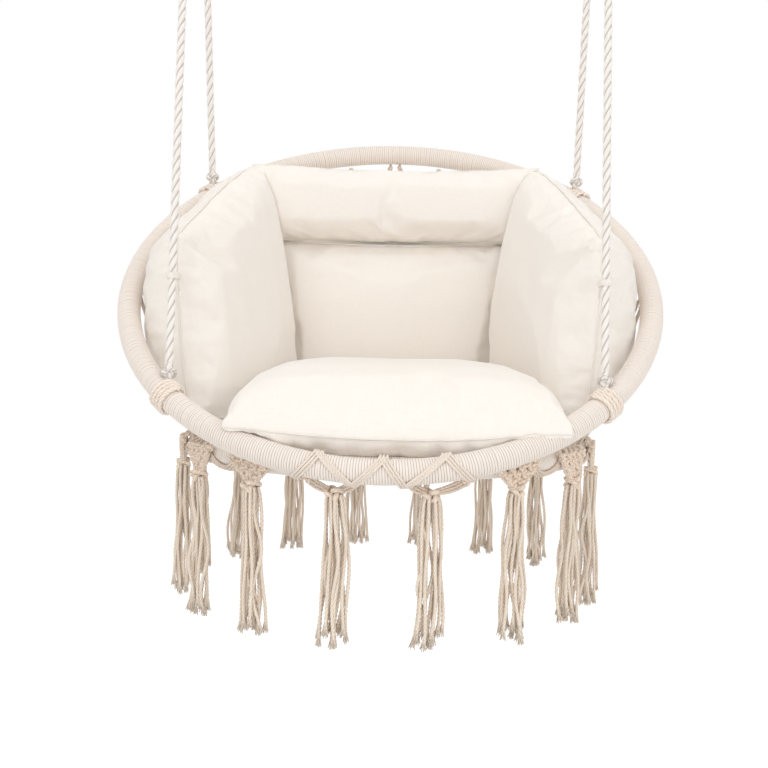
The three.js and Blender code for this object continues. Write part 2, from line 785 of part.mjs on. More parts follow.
// A pillow with a crown on each side of its middle surface
function pillow(shape, grow = 0) {
  const { normal, surface } = middleSurface(shape, grow);
  const { across, along } = shape;
  const points = [];
  const side = (crown, { power, root }) => {
    const profile = (share) => 1 - Math.abs(share) ** power;
    const grid = [];
    for (let j = 0; j <= along; j++) {
      for (let i = 0; i <= across; i++) {
        const u = Math.sin((Math.PI / 2) * ((2 * i) / across - 1));
        const v = Math.sin((Math.PI / 2) * ((2 * j) / along - 1));
        const rise = crown * Math.max(0, profile(u) * profile(v)) ** root;
        grid.push(points.push(surface(u, v).addScaledVector(normal, rise)) - 1);
      }
    }
    return grid;
  };
  const front = side(shape.frontCrown + grow, fullCrown);
  const rear = side(-shape.rearCrown - grow, shape.rearForm);
  const triangles = [];
  for (let j = 0; j < along; j++) {
    for (let i = 0; i < across; i++) {
      const k = j * (across + 1) + i;
      const quad = [k, k + 1, k + across + 2, k + across + 1];
      const [f0, f1, f2, f3] = quad.map((corner) => front[corner]);
      const [r0, r1, r2, r3] = quad.map((corner) => rear[corner]);
      triangles.push([f0, f1, f2], [f0, f2, f3], [r0, r2, r1], [r0, r3, r2]);
    }
  }
  return solidOf(triangleMesh(points, triangles));
}

const seatShape = {
  cornerShares: seatCornerShares,
  frontCrown: seatTopCrown,
  rearCrown: seatBottomCrown,
  rearForm: softCrown,
  bend: seatBend,
  drawInShare: -0.05,
  across: 12,
  along: 10,
};
const backShape = {
  cornerShares: backCornerShares,
  frontCrown: backCushionFrontCrown,
  rearCrown: backCushionRearCrown,
  rearForm: softCrown,
  bend: backCushionBend,
  drawInShare: 0,
  across: 10,
  along: 8,
};
const headShape = {
  cornerShares: headCornerShares,
  frontCrown: headRollFrontCrown,
  rearCrown: headRollRearCrown,
  rearForm: softCrown,
  bend: headRollBend,
  drawInShare: 0,
  across: 12,
  along: 6,
};
const wingShape = {
  cornerShares: wingCornerShares,
  frontCrown: wingInnerCrown,
  rearCrown: wingOuterCrown,
  rearForm: fullCrown,
  bend: 0,
  drawInShare: -0.06,
  across: 8,
  along: 8,
};

// Fabric tie: a band round the front rope and a strap to the wing cushion's front edge
function cushionTie(wingSpace) {
  const [low, , , high] = wingCornerShares.map(
    (shares) => new THREE.Vector3(...shares).multiplyScalar(bigHoopRadius),
  );
  const edge = low.clone().lerp(high, tieEdgeShare);
  const start = new THREE.Vector3(...frontRopeRoute[0]);
  const end = new THREE.Vector3(...frontRopeRoute.at(-1));
  const share = (start.z + hangDrop - edge.z) / (start.z - end.z);
  const centre = start.clone().lerp(end, share);
  centre.add(new THREE.Vector3(0, hangSetback, hangDrop));
  const inner = ropeDiameter / 2 + clearance;
  const outer = inner + tieBandWall;
  const ropeWay = end.clone().sub(start).normalize().negate();
  const lean = new THREE.Quaternion().setFromUnitVectors(new THREE.Vector3(0, 1, 0), ropeWay);
  const barrel = (radius, height) => {
    const geometry = new THREE.CylinderGeometry(radius, radius, height, ropeSides);
    geometry.applyQuaternion(lean);
    return solidOf(geometry.translate(centre.x, centre.y, centre.z));
  };
  const way = edge.sub(centre).setZ(0).normalize();
  const strap = new THREE.BoxGeometry(tieStrapLength, tieStrapThickness, tieBandHeight);
  strap.translate(tieStrapLength / 2, 0, 0);
  strap.rotateZ(Math.atan2(way.y, way.x));
  strap.translate(centre.x, centre.y, centre.z);
  const bore = barrel(inner / Math.cos(Math.PI / ropeSides), tieBandHeight + ropeDiameter);
  return barrel(outer / Math.cos(Math.PI / ropeSides), tieBandHeight)
    .add(solidOf(strap))
    .subtract(bore)
    .subtract(wingSpace);
}

function cushions() {
  const group = new THREE.Group();
  const basket = solidOf(basketSpace());
  const rightOf = (solid) => solidOf(mirrored(geometryOf(solid)));
  const seatSpace = pillow(seatShape, cushionClearance);
  const leftWingSpace = pillow(wingShape, cushionClearance);
  const wingSpaces = leftWingSpace.add(rightOf(leftWingSpace));
  const backSpace = pillow(backShape, cushionClearance);
  const seatInNet = pillow(seatShape).subtract(underSeatNet());
  const seat = clearOfLashings(clearBelowHoop(clearOfHoops(seatInNet)), cushionClearance);
  const inBasket = (solid) => clearOfHoops(solid.intersect(basket).subtract(seatSpace));
  const hitchSpace = geometryOf(hitchForm(ropeEnds.rear, cushionClearance));
  hitchSpace.applyMatrix4(bigHoopPlace);
  const rightWing = inBasket(rightOf(pillow(wingShape).subtract(solidOf(hitchSpace))));
  const clearOfSeat = (solid) => mainBody(solid.subtract(seatSpace).subtract(seatWay()));
  const back = inBasket(pillow(backShape)).subtract(wingSpaces);
  const head = inBasket(pillow(headShape)).subtract(backSpace).subtract(wingSpaces);
  group.add(
    piece('seat_cushion', mainBody(seat), cushionCloth),
    piece('back_cushion', clearOfSeat(back), cushionCloth),
    piece('head_roll', clearOfSeat(head), cushionCloth),
    piece('left_wing_cushion', clearOfSeat(rightOf(rightWing)), cushionCloth),
    piece('right_wing_cushion', clearOfSeat(rightWing), cushionCloth),
    ...pair('cushion_tie', mainBody(cushionTie(leftWingSpace)), cushionCloth),
  );
  return group;
}

function basket() {
  const group = new THREE.Group();
  const radians = THREE.MathUtils.degToRad;
  basketNets.forEach(({ name, from, to, columns, rows }) => {
    const net = basketNet(-radians(to), -radians(from), columns, rows);
    group.add(...pair(name, net, netCotton));
  });
  group.add(piece('seat_net', seatNet(), netCotton));
  lashingPlaceShares.forEach((share, i) => {
    const band = mainBody(clearOfHoops(lashingBand(share)));
    group.add(piece(`front_lashing_${i + 1}`, band, netCotton));
  });
  return group;
}

function suspension() {
  const group = new THREE.Group();
  group.add(
    ...hangRings(),
    ...pair('front_rope_eye', ropeEye(ropeEnds.front), ropeCotton),
    ...pair('rear_rope_eye', ropeEye(ropeEnds.rear), ropeCotton),
    ...pair('front_rope', rope(frontRopeRoute), ropeCotton),
    ...pair('rear_rope', rope(rearRopeRoute), ropeCotton),
  );
  return group;
}

function hitches() {
  const group = new THREE.Group();
  group.rotation.x = bigHoopTilt;
  group.add(
    ...pair('front_rope_hitch', hitch(ropeEnds.front), ropeCotton),
    ...pair('rear_rope_hitch', hitch(ropeEnds.rear), ropeCotton),
  );
  return group;
}

const chair = new THREE.Group();
chair.position.set(0, -hangSetback, -hangDrop);
chair.add(bigHoop(), smallHoop(), hitches(), basket(), tassels(), cushions());

const hammockChair = new THREE.Group();
hammockChair.add(suspension(), chair);

export default hammockChair;
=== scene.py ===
# Hammock chair: the finish of every piece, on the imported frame.
# Metres, +Z up. The chair faces -Y, and left is the side at -X.
import math

import bpy
import numpy as np
from numpy.linalg import norm
from mathutils import Matrix, Vector, noise
from mathutils.bvhtree import BVHTree


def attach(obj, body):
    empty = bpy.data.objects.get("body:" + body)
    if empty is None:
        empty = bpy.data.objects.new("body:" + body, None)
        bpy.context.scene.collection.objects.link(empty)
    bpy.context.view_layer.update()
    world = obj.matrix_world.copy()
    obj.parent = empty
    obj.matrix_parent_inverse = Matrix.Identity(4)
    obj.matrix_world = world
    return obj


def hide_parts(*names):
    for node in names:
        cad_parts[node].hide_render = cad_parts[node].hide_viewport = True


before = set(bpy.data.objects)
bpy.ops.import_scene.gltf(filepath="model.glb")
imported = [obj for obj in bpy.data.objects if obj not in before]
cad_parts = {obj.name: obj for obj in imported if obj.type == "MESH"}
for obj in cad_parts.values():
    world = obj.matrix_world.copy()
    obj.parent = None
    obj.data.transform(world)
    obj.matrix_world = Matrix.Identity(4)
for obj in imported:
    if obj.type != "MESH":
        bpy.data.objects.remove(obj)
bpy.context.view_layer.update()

TURN = 2 * math.pi
MM = 0.001
# How far a cord reaches into the piece that hides its end
LAP = 2 * MM

# Hoops: the upper one is big and tilted, the lower one small and level
HOOP_TILT = math.radians(39)
BIG_CENTRE = np.array([0, -49.9, -790]) * MM
BIG_RADIUS = 383.5 * MM
BIG_SECTION = 16.5 * MM
SMALL_RADIUS = 285 * MM
SMALL_SECTION = 15 * MM
HOOP_SPACE = 1.5 * MM
SMALL_DROP = BIG_RADIUS * math.sin(HOOP_TILT)
SMALL_SETBACK = (
    SMALL_RADIUS - BIG_RADIUS * math.cos(HOOP_TILT) + BIG_SECTION + SMALL_SECTION + HOOP_SPACE
)
SMALL_CENTRE = BIG_CENTRE + [0, SMALL_SETBACK, -SMALL_DROP]
BIG_TURNS = 700
SMALL_TURNS = 520
WINDING_GROOVE = 1.3 * MM
WINDING_UNEVEN = 0.07 * MM

# Hanging rings and ropes. A knot has its size, its cord and its depth as a share.
HANG_SPAN = 614 * MM
RING_RADIUS = 28 * MM
RING_WIRE = 4 * MM
RING_WELD = 1.6 * MM
EYE_SPACING = 13 * MM
EYE_RADIUS = 12 * MM
EYE_STRAND = 5 * MM
EYE_LAY = 34 * MM
EYE_DROP = 1.3 * MM
EYE_REACH = 46 * MM
WHIPPING = 7 * MM
ROPE = 6 * MM
ROPE_LAY = 52 * MM
ROPE_STEP = 2.6 * MM
HITCH_ANGLES = {"front": math.radians(48), "rear": math.radians(128)}
HITCH_REACH = 44 * MM
HITCH_CORD = 3.3 * MM
HITCH_LAY = 24 * MM
HITCH_PITCH = 6.3 * MM
HITCH_KNOT = (22 * MM, 4 * MM, 0.62)
HITCH_KNOT_REACH = 31 * MM
# Where each left rope leaves its eye and where it meets its hitch, in millimetres
ROPE_ENDS = {
    "front": [(-313.5, -11.7, -44.8), (-286.3, -238.1, -908.7)],
    "rear": [(-300.5, 9.4, -45.3), (-302.1, 124.6, -598.0)],
}
ROPE_POINTS = 15

# Nets: each basket net's name, its angles from the front, its columns and its rows
NET_CORD = 2 * MM
NET_SLACK = 0.4 * MM
NET_KNOT = 12 * MM
NET_KNOT_CORD = 1.9 * MM
RIB_CORD = 2.2 * MM
SEAT_NET_SAG = 30 * MM
SEAT_NET_COLUMNS = 12
SEAT_NET_SHARES = [1, 0.76, 0.54, 0.33, 0.15]
BASKET_NETS = [
    ("front_net", 52, 90, 3, 2),
    ("side_net", 90, 135, 4, 4),
    ("back_net", 135, 180, 4, 6),
]

# Lashings: where the loops of each pass the lower hoop and the upper one, in millimetres
LASHINGS = [(-108, [-78]), (-37, [-78, 1]), (27, [1, 77]), (108, [77])]
LASHING_CORD = 2.1 * MM
LASHING_LAY = 15 * MM

# Thin cords of the lashings and the tassels' panels
THIN_STEP = 1.9 * MM
THIN_LAY = 14 * MM

# Tassels, with tables in millimetres
TASSEL_COUNT = 16
TASSEL_RADIUS = 305.3 * MM
TASSEL_KNOT = (27 * MM, 3.3 * MM, 0.75)
TASSEL_KNOT_DROP = 29 * MM
TASSEL_SKIRT = 191 * MM
TASSEL_STRANDS = 14
SKIRT_LEAN = 3 * MM
SKIRT_BOW = 2 * MM
SKIRT_UNEVEN = (-13, 7)
SKIRT_SHARES = [0, 0.05, 0.4, 0.8, 1]
SKIRT_WIDTHS = [10, 13, 16.5, 18.5, 20]
SKIRT_DEPTHS = [8.5, 10, 12, 14, 15]
STRAND = 2.5 * MM
STRAND_LAY = 17 * MM
STRAND_STEP = 1.75 * MM
FIBRE = 0.85 * MM
FIBRE_COUNT = 11
# Rows of a panel: height over the hoop's middle, knots and half width
PANEL_ROWS = [(8, 5, 31), (-2, 4, 24), (-11, 3, 15), (-20, 2, 7)]
PANEL_CORD = 2.2 * MM
PANEL_KNOT = (14.5, 17.5)
PANEL_KNOT_CORD = 2.6 * MM
PANEL_BEND = 2.5 * MM
# Places behind and over a knot, through which its cords go round the hoop
PANEL_HOOK = [(0, 0), (4, 7), (9, 9)]
ARM_HOOK = [(0, 0), (9, 5), (16, 14)]
# Where the bundles at a panel's edge start, beside and over the origin, and where they end beside it
EDGE_START = (34, 5)
EDGE_END = 3
# How far the arms of the two front tassels reach to the left and the right
FRONT_ARMS = {1: (30, 44), 16: (33, 30)}
# Where an arm starts, over and outside the origin, and where it ends, beside and over the knot
ARM_START = (-12, 2)
ARM_END = (5, 3)
HANGING_CORD = 2.3 * MM
ARM_KNOT = (15 * MM, 2.5 * MM, 0.6)
SWAG_SHARES = [0.26, 0.74]
SWAG_TOP = math.radians(5)
SWAG_DROP = math.radians(50)

# Cushions: corners of the middle surfaces as shares of the upper hoop's radius, then millimetres.
# A crown rises by (1 - |x|^power) to the root, across and along.
FULL = (4, 0.4)
SOFT = (2.5, 0.5)
CUSHIONS = {
    "seat_cushion": {
        "corner_shares": [
            (-0.525, -0.715, -0.505), (0.62, -0.69, -0.508), (0.43, 0.45, -0.51), (-0.41, 0.45, -0.51),
        ],
        "crowns": ((92, FULL), (52, SOFT)), "bend": 14, "draw_in": -0.05, "cells": (72, 64), "fill": 0.7,
    },
    "back_cushion": {
        "corner_shares": [
            (-0.43, 0.575, -0.66), (0.43, 0.575, -0.66), (0.54, 0.585, 0.211), (-0.54, 0.585, 0.211),
        ],
        "crowns": ((60, FULL), (48, SOFT)), "bend": 28, "draw_in": 0, "cells": (64, 52), "fill": 0.7,
    },
    "head_roll": {
        "corner_shares": [
            (-0.54, 0.54, 0.211), (0.54, 0.54, 0.211), (0.64, 0.535, 0.542), (-0.64, 0.535, 0.542),
        ],
        "crowns": ((68, FULL), (40, SOFT)), "bend": 60, "draw_in": 0, "cells": (76, 34), "fill": 0.75,
    },
    "left_wing_cushion": {
        "corner_shares": [
            (-0.69, -0.385, -0.51), (-0.43, 0.443, -0.53), (-0.61, 0.542, 0.54), (-0.77, -0.28, 0.149),
        ],
        "crowns": ((45, FULL), (92, FULL)), "bend": 0, "draw_in": -0.06, "cells": (60, 62),
        "fill": 0.75,
    },
}


def unit(vector):
    return np.asarray(vector, float) / norm(vector)


def big_point(angle, radius=BIG_RADIUS):
    """A point on the upper hoop's middle line, with the angle from the front towards +X."""
    forward = radius * math.cos(angle)
    return BIG_CENTRE + [
        radius * math.sin(angle), -forward * math.cos(HOOP_TILT), -forward * math.sin(HOOP_TILT),
    ]


def small_point(angle, radius=SMALL_RADIUS):
    return SMALL_CENTRE + [radius * math.sin(angle), -radius * math.cos(angle), 0]


BIG_AXIS = np.array([0, -math.sin(HOOP_TILT), math.cos(HOOP_TILT)])
UPWARD = np.array([0.0, 0.0, 1.0])


scene = bpy.context.scene


# Meshes
def add_object(name, data):
    made = bpy.data.objects.new(name, data)
    scene.collection.objects.link(made)
    return made


class Draft:
    """Points, faces and cord coordinates gathered for one mesh."""

    def __init__(self):
        self.points, self.faces, self.coords, self.count = [], [], [], 0

    def add(self, points, *parts):
        """Each part is (faces, coords): corner numbers (m, k) and their coordinates (m, k, 2)."""
        self.points.append(points.reshape(-1, 3))
        for faces, coords in parts:
            self.faces.append(faces + self.count)
            self.coords.append(coords)
        self.count += len(self.points[-1])

    def make(self, name, material):
        mesh = bpy.data.meshes.new(name)
        points = np.concatenate(self.points).astype(np.float32)
        corners = np.concatenate([f.ravel() for f in self.faces]).astype(np.int32)
        sizes = np.concatenate([np.full(len(f), f.shape[1]) for f in self.faces])
        starts = np.concatenate([[0], np.cumsum(sizes)[:-1]]).astype(np.int32)
        mesh.vertices.add(len(points))
        mesh.vertices.foreach_set("co", points.ravel())
        mesh.loops.add(len(corners))
        mesh.loops.foreach_set("vertex_index", corners)
        mesh.polygons.add(len(sizes))
        mesh.polygons.foreach_set("loop_start", starts)
        layer = mesh.uv_layers.new(name="cord")
        coords = np.concatenate([c.reshape(-1, 2) for c in self.coords]).astype(np.float32)
        layer.data.foreach_set("uv", coords.ravel())
        mesh.update(calc_edges=True)
        mesh.shade_smooth()
        mesh.materials.append(material)
        return add_object(name, mesh)

    def put(self, name, material, *place, body="chair"):
        return put(self.make(name, material), *place, body=body)


def grid_faces(rows, sides, closed):
    """Corner numbers of a tube's quads and the row and side of each corner."""
    row, side = np.indices((rows if closed else rows - 1, sides))
    row_of = np.stack([row, row, row + 1, row + 1], -1).reshape(-1, 4)
    side_of = np.stack([side, side + 1, side + 1, side], -1).reshape(-1, 4)
    return (row_of % rows) * sides + side_of % sides, row_of, side_of


def turned_frames(line, closed, first_side=None):
    """Directions to a line's side and top, which turn as little as it allows."""
    ways = np.roll(line, -1, 0) - np.roll(line, 1, 0) if closed else np.gradient(line, axis=0)
    ways /= norm(ways, axis=1)[:, None]
    side = first_side if first_side is not None else np.eye(3)[np.argmin(np.abs(ways[0]))]
    sides = np.empty_like(ways)
    for i, way in enumerate(ways):
        side = side - way * side.dot(way)
        side = side / math.sqrt(side.dot(side))
        sides[i] = side
    return sides, np.cross(ways, sides)


def lengths_along(line):
    """The length from a line's start to each of its points."""
    return np.concatenate([[0], np.cumsum(norm(np.diff(line, axis=0), axis=1))])


def lengths_round(line):
    """The same with the way back to the start as its last length."""
    return lengths_along(np.vstack([line, line[:1]]))


def sweep(draft, line, section, closed=False, first_side=None, twist=0.0):
    """A section of (sides, 2) or (rings, sides, 2) offsets swept along a line.

    The coordinate around it gains twist turns in each metre."""
    line = np.asarray(line, float)
    sides, tops = turned_frames(line, closed, first_side)
    section = np.broadcast_to(section, (len(line), *np.shape(section)[-2:]))
    points = line[:, None] + section[..., :1] * sides[:, None] + section[..., 1:] * tops[:, None]
    rings, count = section.shape[:2]
    faces, row_of, side_of = grid_faces(rings, count, closed)
    along = lengths_round(line)
    parts = [(faces, np.stack([along[row_of], side_of / count + twist * along[row_of]], -1))]
    if not closed:
        ring = np.arange(count)[None]
        flat = np.zeros((1, count, 2))
        parts += [(ring[:, ::-1], flat), (ring + (rings - 1) * count, flat)]
    draft.add(points, *parts)


PLAIN_LAY = 14 * MM


def tube(draft, line, radius, sides=12, plies=0, groove=0.26, lay=0.0, closed=False, start=0.0):
    """A round cord, or one of twisted plies whose section turns once in each lay."""
    line = np.asarray(line, float)
    along = lengths_round(line)
    total = along[-1] if closed else along[-2]
    angles = TURN * np.arange(sides) / sides
    reach = np.ones(sides)
    turn = np.full(len(line), start)
    if plies:
        reach = 1 - groove * (1 - np.abs(np.cos(plies * angles / 2)))
        turns = total / lay
        if closed:
            turns = max(1, round(turns))
        turn = start + TURN * turns * along[:-1] / total
    theta = angles[None] + turn[:, None]
    reach = np.broadcast_to(radius, len(line))[:, None] * reach[None]
    section = np.stack([np.cos(theta), np.sin(theta)], -1) * reach[..., None]
    sweep(draft, line, section, closed, twist=0.0 if plies else 1 / PLAIN_LAY)


def smooth_line(points, steps, closed=False):
    """A Catmull-Rom line through the points, with that many steps between each two."""
    points = np.asarray(points, float)
    if closed:
        padded = np.vstack([points[-1:], points, points[:2]])
    else:
        padded = np.vstack([2 * points[0] - points[1], points, 2 * points[-1] - points[-2]])
    share = np.arange(steps)[:, None] / steps
    line = []
    for a, b, c, d in zip(padded, padded[1:], padded[2:], padded[3:]):
        line.append(0.5 * (
            2 * b + (c - a) * share + (2 * a - 5 * b + 4 * c - d) * share**2
            + (3 * b - a - 3 * c + d) * share**3
        ))
    line = np.concatenate(line)
    return line if closed else np.vstack([line, points[-1:]])


def even_count(line, count):
    """The same line with so many points at even steps."""
    along = lengths_along(line)
    places = np.linspace(0, along[-1], count)
    return np.stack([np.interp(places, along, line[:, k]) for k in range(3)], -1)


def even_line(line, step):
    """The same line with its points about a step apart."""
    line = np.asarray(line, float)
    return even_count(line, max(2, round(lengths_along(line)[-1] / step) + 1))


def circle(centre, radius, side, top, count):
    """Points on a circle, from its side direction towards its top direction."""
    around = TURN * np.arange(count)[:, None] / count
    return centre + radius * (np.cos(around) * side + np.sin(around) * top)


def knot(draft, centre, east, north, out, size, cord, deep=0.55):
    """A pulled trefoil knot of a round cord, size wide and high and deep times that thick."""
    t = TURN * np.arange(48) / 48
    x = (np.sin(t) + 2 * np.sin(2 * t)) / 3
    y = (np.cos(t) - 2 * np.cos(2 * t)) / 3
    z = -np.sin(3 * t)
    across = size / 2 - cord
    line = centre + across * (x[:, None] * east + y[:, None] * north)
    tube(draft, line + (z * across * deep)[:, None] * out, cord, sides=7, closed=True)


def thin_cord(draft, line, radius, number=0, groove=0.3):
    """One of some thin cords side by side, each turned further than the last."""
    tube(draft, even_line(line, THIN_STEP), radius, 9, 3, groove, THIN_LAY, start=2.1 * number)


def sheet_quads(number):
    """The quads of a grid of corner numbers."""
    corners = [number[:-1, :-1], number[:-1, 1:], number[1:, 1:], number[1:, :-1]]
    return np.stack(corners, -1).reshape(-1, 4)


def sheet_rim(number):
    """The numbers round the edge of such a grid."""
    return np.concatenate([number[0], number[1:, -1], number[-1, -2::-1], number[-2:0:-1, 0]])


# Materials
def linear(red, green, blue):
    """An sRGB colour of 0 to 255 as Blender's linear colour."""
    shares = [value / 255 for value in (red, green, blue)]
    return (*(s / 12.92 if s <= 0.04045 else ((s + 0.055) / 1.055) ** 2.4 for s in shares), 1)


def tinted(colour, red, green, blue):
    """A colour with each channel times its share."""
    return (*(min(1, c * share) for c, share in zip(colour, (red, green, blue))), 1)


class Nodes:
    """A node tree, whose nodes are added one at a time."""

    def __init__(self, owner):
        owner.use_nodes = True
        self.tree = owner.node_tree

    def add(self, kind, inputs=None, **settings):
        node = self.tree.nodes.new("ShaderNode" + kind)
        for key, value in settings.items():
            setattr(node, key, value)
        for key, value in (inputs or {}).items():
            self.feed(node.inputs[key], value)
        return node

    def feed(self, socket, value):
        if isinstance(value, bpy.types.NodeSocket):
            self.tree.links.new(value, socket)
        else:
            socket.default_value = value

    def maths(self, operation, *values):
        return self.add("Math", dict(enumerate(values)), operation=operation).outputs[0]

    def times(self, *values):
        return self.maths("MULTIPLY", *values)

    def blend(self, share, low, high):
        node = self.add("Mix", {0: share, 6: low, 7: high}, data_type="RGBA")
        return node.outputs[2]

    def range(self, value, low, high):
        inputs = {"Value": value, "To Min": low, "To Max": high}
        return self.add("MapRange", inputs).outputs["Result"]

    def noise(self, place, scale, detail=2.0, rough=0.5):
        inputs = {"Vector": place, "Scale": scale, "Detail": detail, "Roughness": rough}
        return self.add("TexNoise", inputs).outputs["Fac"]

    def place(self):
        return self.add("TexCoord").outputs["Object"]

    def cord_place(self):
        """The length along the cord in metres and the share around it."""
        uv = self.add("UVMap", uv_map="cord").outputs["UV"]
        parts = self.add("SeparateXYZ", {0: uv})
        return parts.outputs["X"], parts.outputs["Y"]

    def bump(self, height, distance, normal=None):
        inputs = {"Height": height, "Distance": distance, "Strength": 1.0}
        if normal:
            inputs["Normal"] = normal
        return self.add("Bump", inputs).outputs["Normal"]


class Finish(Nodes):
    def __init__(self, name):
        self.material = bpy.data.materials.new(name)
        super().__init__(self.material)

    def set(self, **inputs):
        shader = self.tree.nodes["Principled BSDF"]
        for key, value in inputs.items():
            self.feed(shader.inputs[key.replace("_", " ")], value)


def cotton(name, colour, plies, fibres, slant, depth, shade, groove, shift=0.0):
    """Twisted cotton: painted shade in the grooves between its plies and in the gaps between the fibres
    that cross each ply.
    """
    finish = Finish(name)
    along, around = finish.cord_place()
    turned = finish.times(finish.maths("ADD", around, shift), math.pi * plies)
    ply = finish.maths("ABSOLUTE", finish.maths("COSINE", turned))
    phase = finish.maths("ADD", finish.times(around, plies * fibres), finish.times(along, slant))
    saw = finish.maths("SUBTRACT", finish.times(finish.maths("FRACT", phase), 2.0), 1.0)
    ridge = finish.maths("SUBTRACT", 1.0, finish.times(saw, saw))
    place = finish.place()
    fuzz = finish.noise(place, 1400.0, 3.0, 0.7)
    patch = finish.noise(place, 18.0, 3.0, 0.6)
    # dark is painted shade in the gaps between fibres; the fuzz also mixes it in at random as fibre tone
    dark = tinted(colour, shade, shade, shade)
    # deep is painted shade, a little warmer than the cord, in the grooves between plies
    deep = tinted(colour, groove, groove * 0.95, groove * 0.88)
    pale = tinted(colour, 1.08, 1.08, 1.08)
    tone = finish.blend(finish.range(ridge, 0.35, 1.0), dark, colour)
    tone = finish.blend(finish.range(patch, -0.4, 0.9), tone, finish.blend(0.5, tone, pale))
    tone = finish.blend(finish.range(fuzz, 0.3, -0.25), tone, dark)
    tone = finish.blend(finish.range(ply, 0.0, 1.7), deep, tone)
    height = finish.maths("ADD", ridge, finish.times(fuzz, 0.5))
    height = finish.maths("ADD", height, finish.times(ply, 1.5))
    finish.set(
        Base_Color=tone,
        Roughness=finish.range(fuzz, 0.84, 0.98),
        Normal=finish.bump(height, depth),
        Sheen_Weight=0.2,
        Sheen_Roughness=0.5,
        Specular_IOR_Level=0.25,
    )
    return finish.material


WEAVE = 0.9 * MM


def canvas(name, colour):
    """Plain-woven cotton cloth with slubs, on coordinates in metres."""
    finish = Finish(name)
    x, y = finish.cord_place()
    warp = finish.maths("SINE", finish.times(x, TURN / WEAVE))
    weft = finish.maths("SINE", finish.times(y, TURN / WEAVE))
    weave = finish.range(finish.times(warp, weft), 0.0, 1.0)
    uv = finish.add("UVMap", uv_map="cord").outputs["UV"]
    threads = []
    for scale in ((60.0, 900.0, 1.0), (900.0, 60.0, 1.0)):
        stretched = finish.add("Mapping", {"Vector": uv, "Scale": scale}).outputs[0]
        threads.append(finish.noise(stretched, 1.0, 2.0, 0.6))
    slubs = finish.maths("MAXIMUM", *threads)
    place = finish.place()
    patch = finish.noise(place, 5.0, 3.0, 0.55)
    crumple = finish.noise(place, 26.0, 2.0, 0.5)
    dark = tinted(colour, 0.9, 0.9, 0.9)
    warm = tinted(colour, 1, 0.97, 0.9)
    tone = finish.blend(finish.range(slubs, -0.5, 1.1), colour, dark)
    tone = finish.blend(finish.range(patch, -0.3, 0.8), tone, finish.blend(0.6, tone, warm))
    height = finish.maths("ADD", weave, slubs)
    fold = finish.bump(crumple, 1.2 * MM)
    finish.set(
        Base_Color=tone,
        Roughness=finish.range(slubs, 0.86, 0.99),
        Normal=finish.bump(height, 0.12 * MM, fold),
        Sheen_Weight=0.25,
        Sheen_Roughness=0.4,
        Specular_IOR_Level=0.2,
    )
    return finish.material


def steel(name, colour, roughness):
    """Steel with fine drawn lines and a little tarnish."""
    finish = Finish(name)
    place = finish.place()
    drawn = finish.add("Mapping", {"Vector": place, "Scale": (900.0, 900.0, 60.0)})
    lines = finish.noise(drawn.outputs[0], 1.0, 2.0, 0.6)
    tarnish = finish.noise(place, 90.0, 4.0, 0.6)
    dull = tinted(colour, 0.6, 0.6, 0.6)
    finish.set(
        Base_Color=finish.blend(finish.range(tarnish, -0.4, 0.9), colour, dull),
        Metallic=1.0,
        Roughness=finish.range(lines, roughness, roughness + 0.2),
        Normal=finish.bump(lines, 0.05 * MM),
    )
    return finish.material


# The values of a cotton: colour, plies, fibres on a ply and their slant, relief, and how much the
# gaps between fibres and the grooves between plies are shaded
WINDING = cotton("winding_cotton", linear(248, 237, 227), 1, 1, 330.0, 0.2 * MM, 0.88, 0.6, 0.5)
LASHING = cotton("lashing_cotton", linear(255, 241, 228), 3, 3, 330.0, 0.2 * MM, 0.94, 0.84)
ROPE_COTTON = cotton("rope_cotton", linear(252, 245, 239), 3, 6, 420.0, 0.3 * MM, 0.88, 0.54)
CORD = cotton("net_cotton", linear(252, 235, 219), 3, 3, 330.0, 0.4 * MM, 0.86, 0.68)
PANEL = cotton("panel_cotton", linear(255, 236, 218), 3, 3, 330.0, 0.3 * MM, 0.92, 0.76)
STRANDS = cotton("tassel_cotton", linear(255, 239, 222), 3, 4, 600.0, 0.2 * MM, 0.94, 0.8)
CLOTH = canvas("cushion_cloth", linear(252, 246, 239))
TUBE_STEEL = steel("tube_steel", linear(141, 144, 148), 0.4)
RING_STEEL = steel("ring_steel", linear(200, 202, 206), 0.22)

for hoop in ("big_hoop_tube", "small_hoop_tube"):
    hoop_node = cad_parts[hoop]
    hoop_node.data.materials.clear()
    hoop_node.data.materials.append(TUBE_STEEL)


def put(piece, slot, *nodes, body="chair"):
    """Sets a piece's body and hides the nodes that it stands for. The slot is not used."""
    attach(piece, body)
    if nodes:
        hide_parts(*nodes)
    return piece


# Camera and light
EYE = np.array([25.1, -1549.7, -858.5]) * MM
LEVEL_WAY = unit([-0.021, 0.99978, 0])
PITCH = 0.0545
ROLL = 0.018
LENS = 46.84
LAMP_AIM = Vector((0, -0.05, -0.85))
# Each lamp's place, size and power
LAMPS = {
    "key_lamp": ((-1.2, -1.6, 1.0), 1.6, 13),
    "fill_lamp": ((1.4, -1.8, -0.2), 1.6, 9),
    "low_lamp": ((-0.3, -2.2, -1.25), 1.4, 5),
    "top_lamp": ((0.1, 0.1, 1.3), 1.4, 6),
    "back_lamp": ((0.3, 2.2, 0.2), 1.6, 12),
}
WORLD_LIGHT = 0.74
FLOOR_HEIGHT = -1.75
FLOOR_SIDE = 14


def place_camera():
    forward = math.cos(PITCH) * LEVEL_WAY - math.sin(PITCH) * UPWARD
    right = np.cross(LEVEL_WAY, UPWARD)
    top = np.cross(right, forward)
    turned = math.cos(ROLL) * right + math.sin(ROLL) * top
    raised = math.cos(ROLL) * top - math.sin(ROLL) * right
    camera = add_object("camera", bpy.data.cameras.new("camera"))
    camera.data.lens = LENS
    columns = np.stack([turned, raised, -forward, EYE], -1)
    camera.matrix_world = Matrix([*columns.tolist(), (0, 0, 0, 1)])
    scene.camera = camera


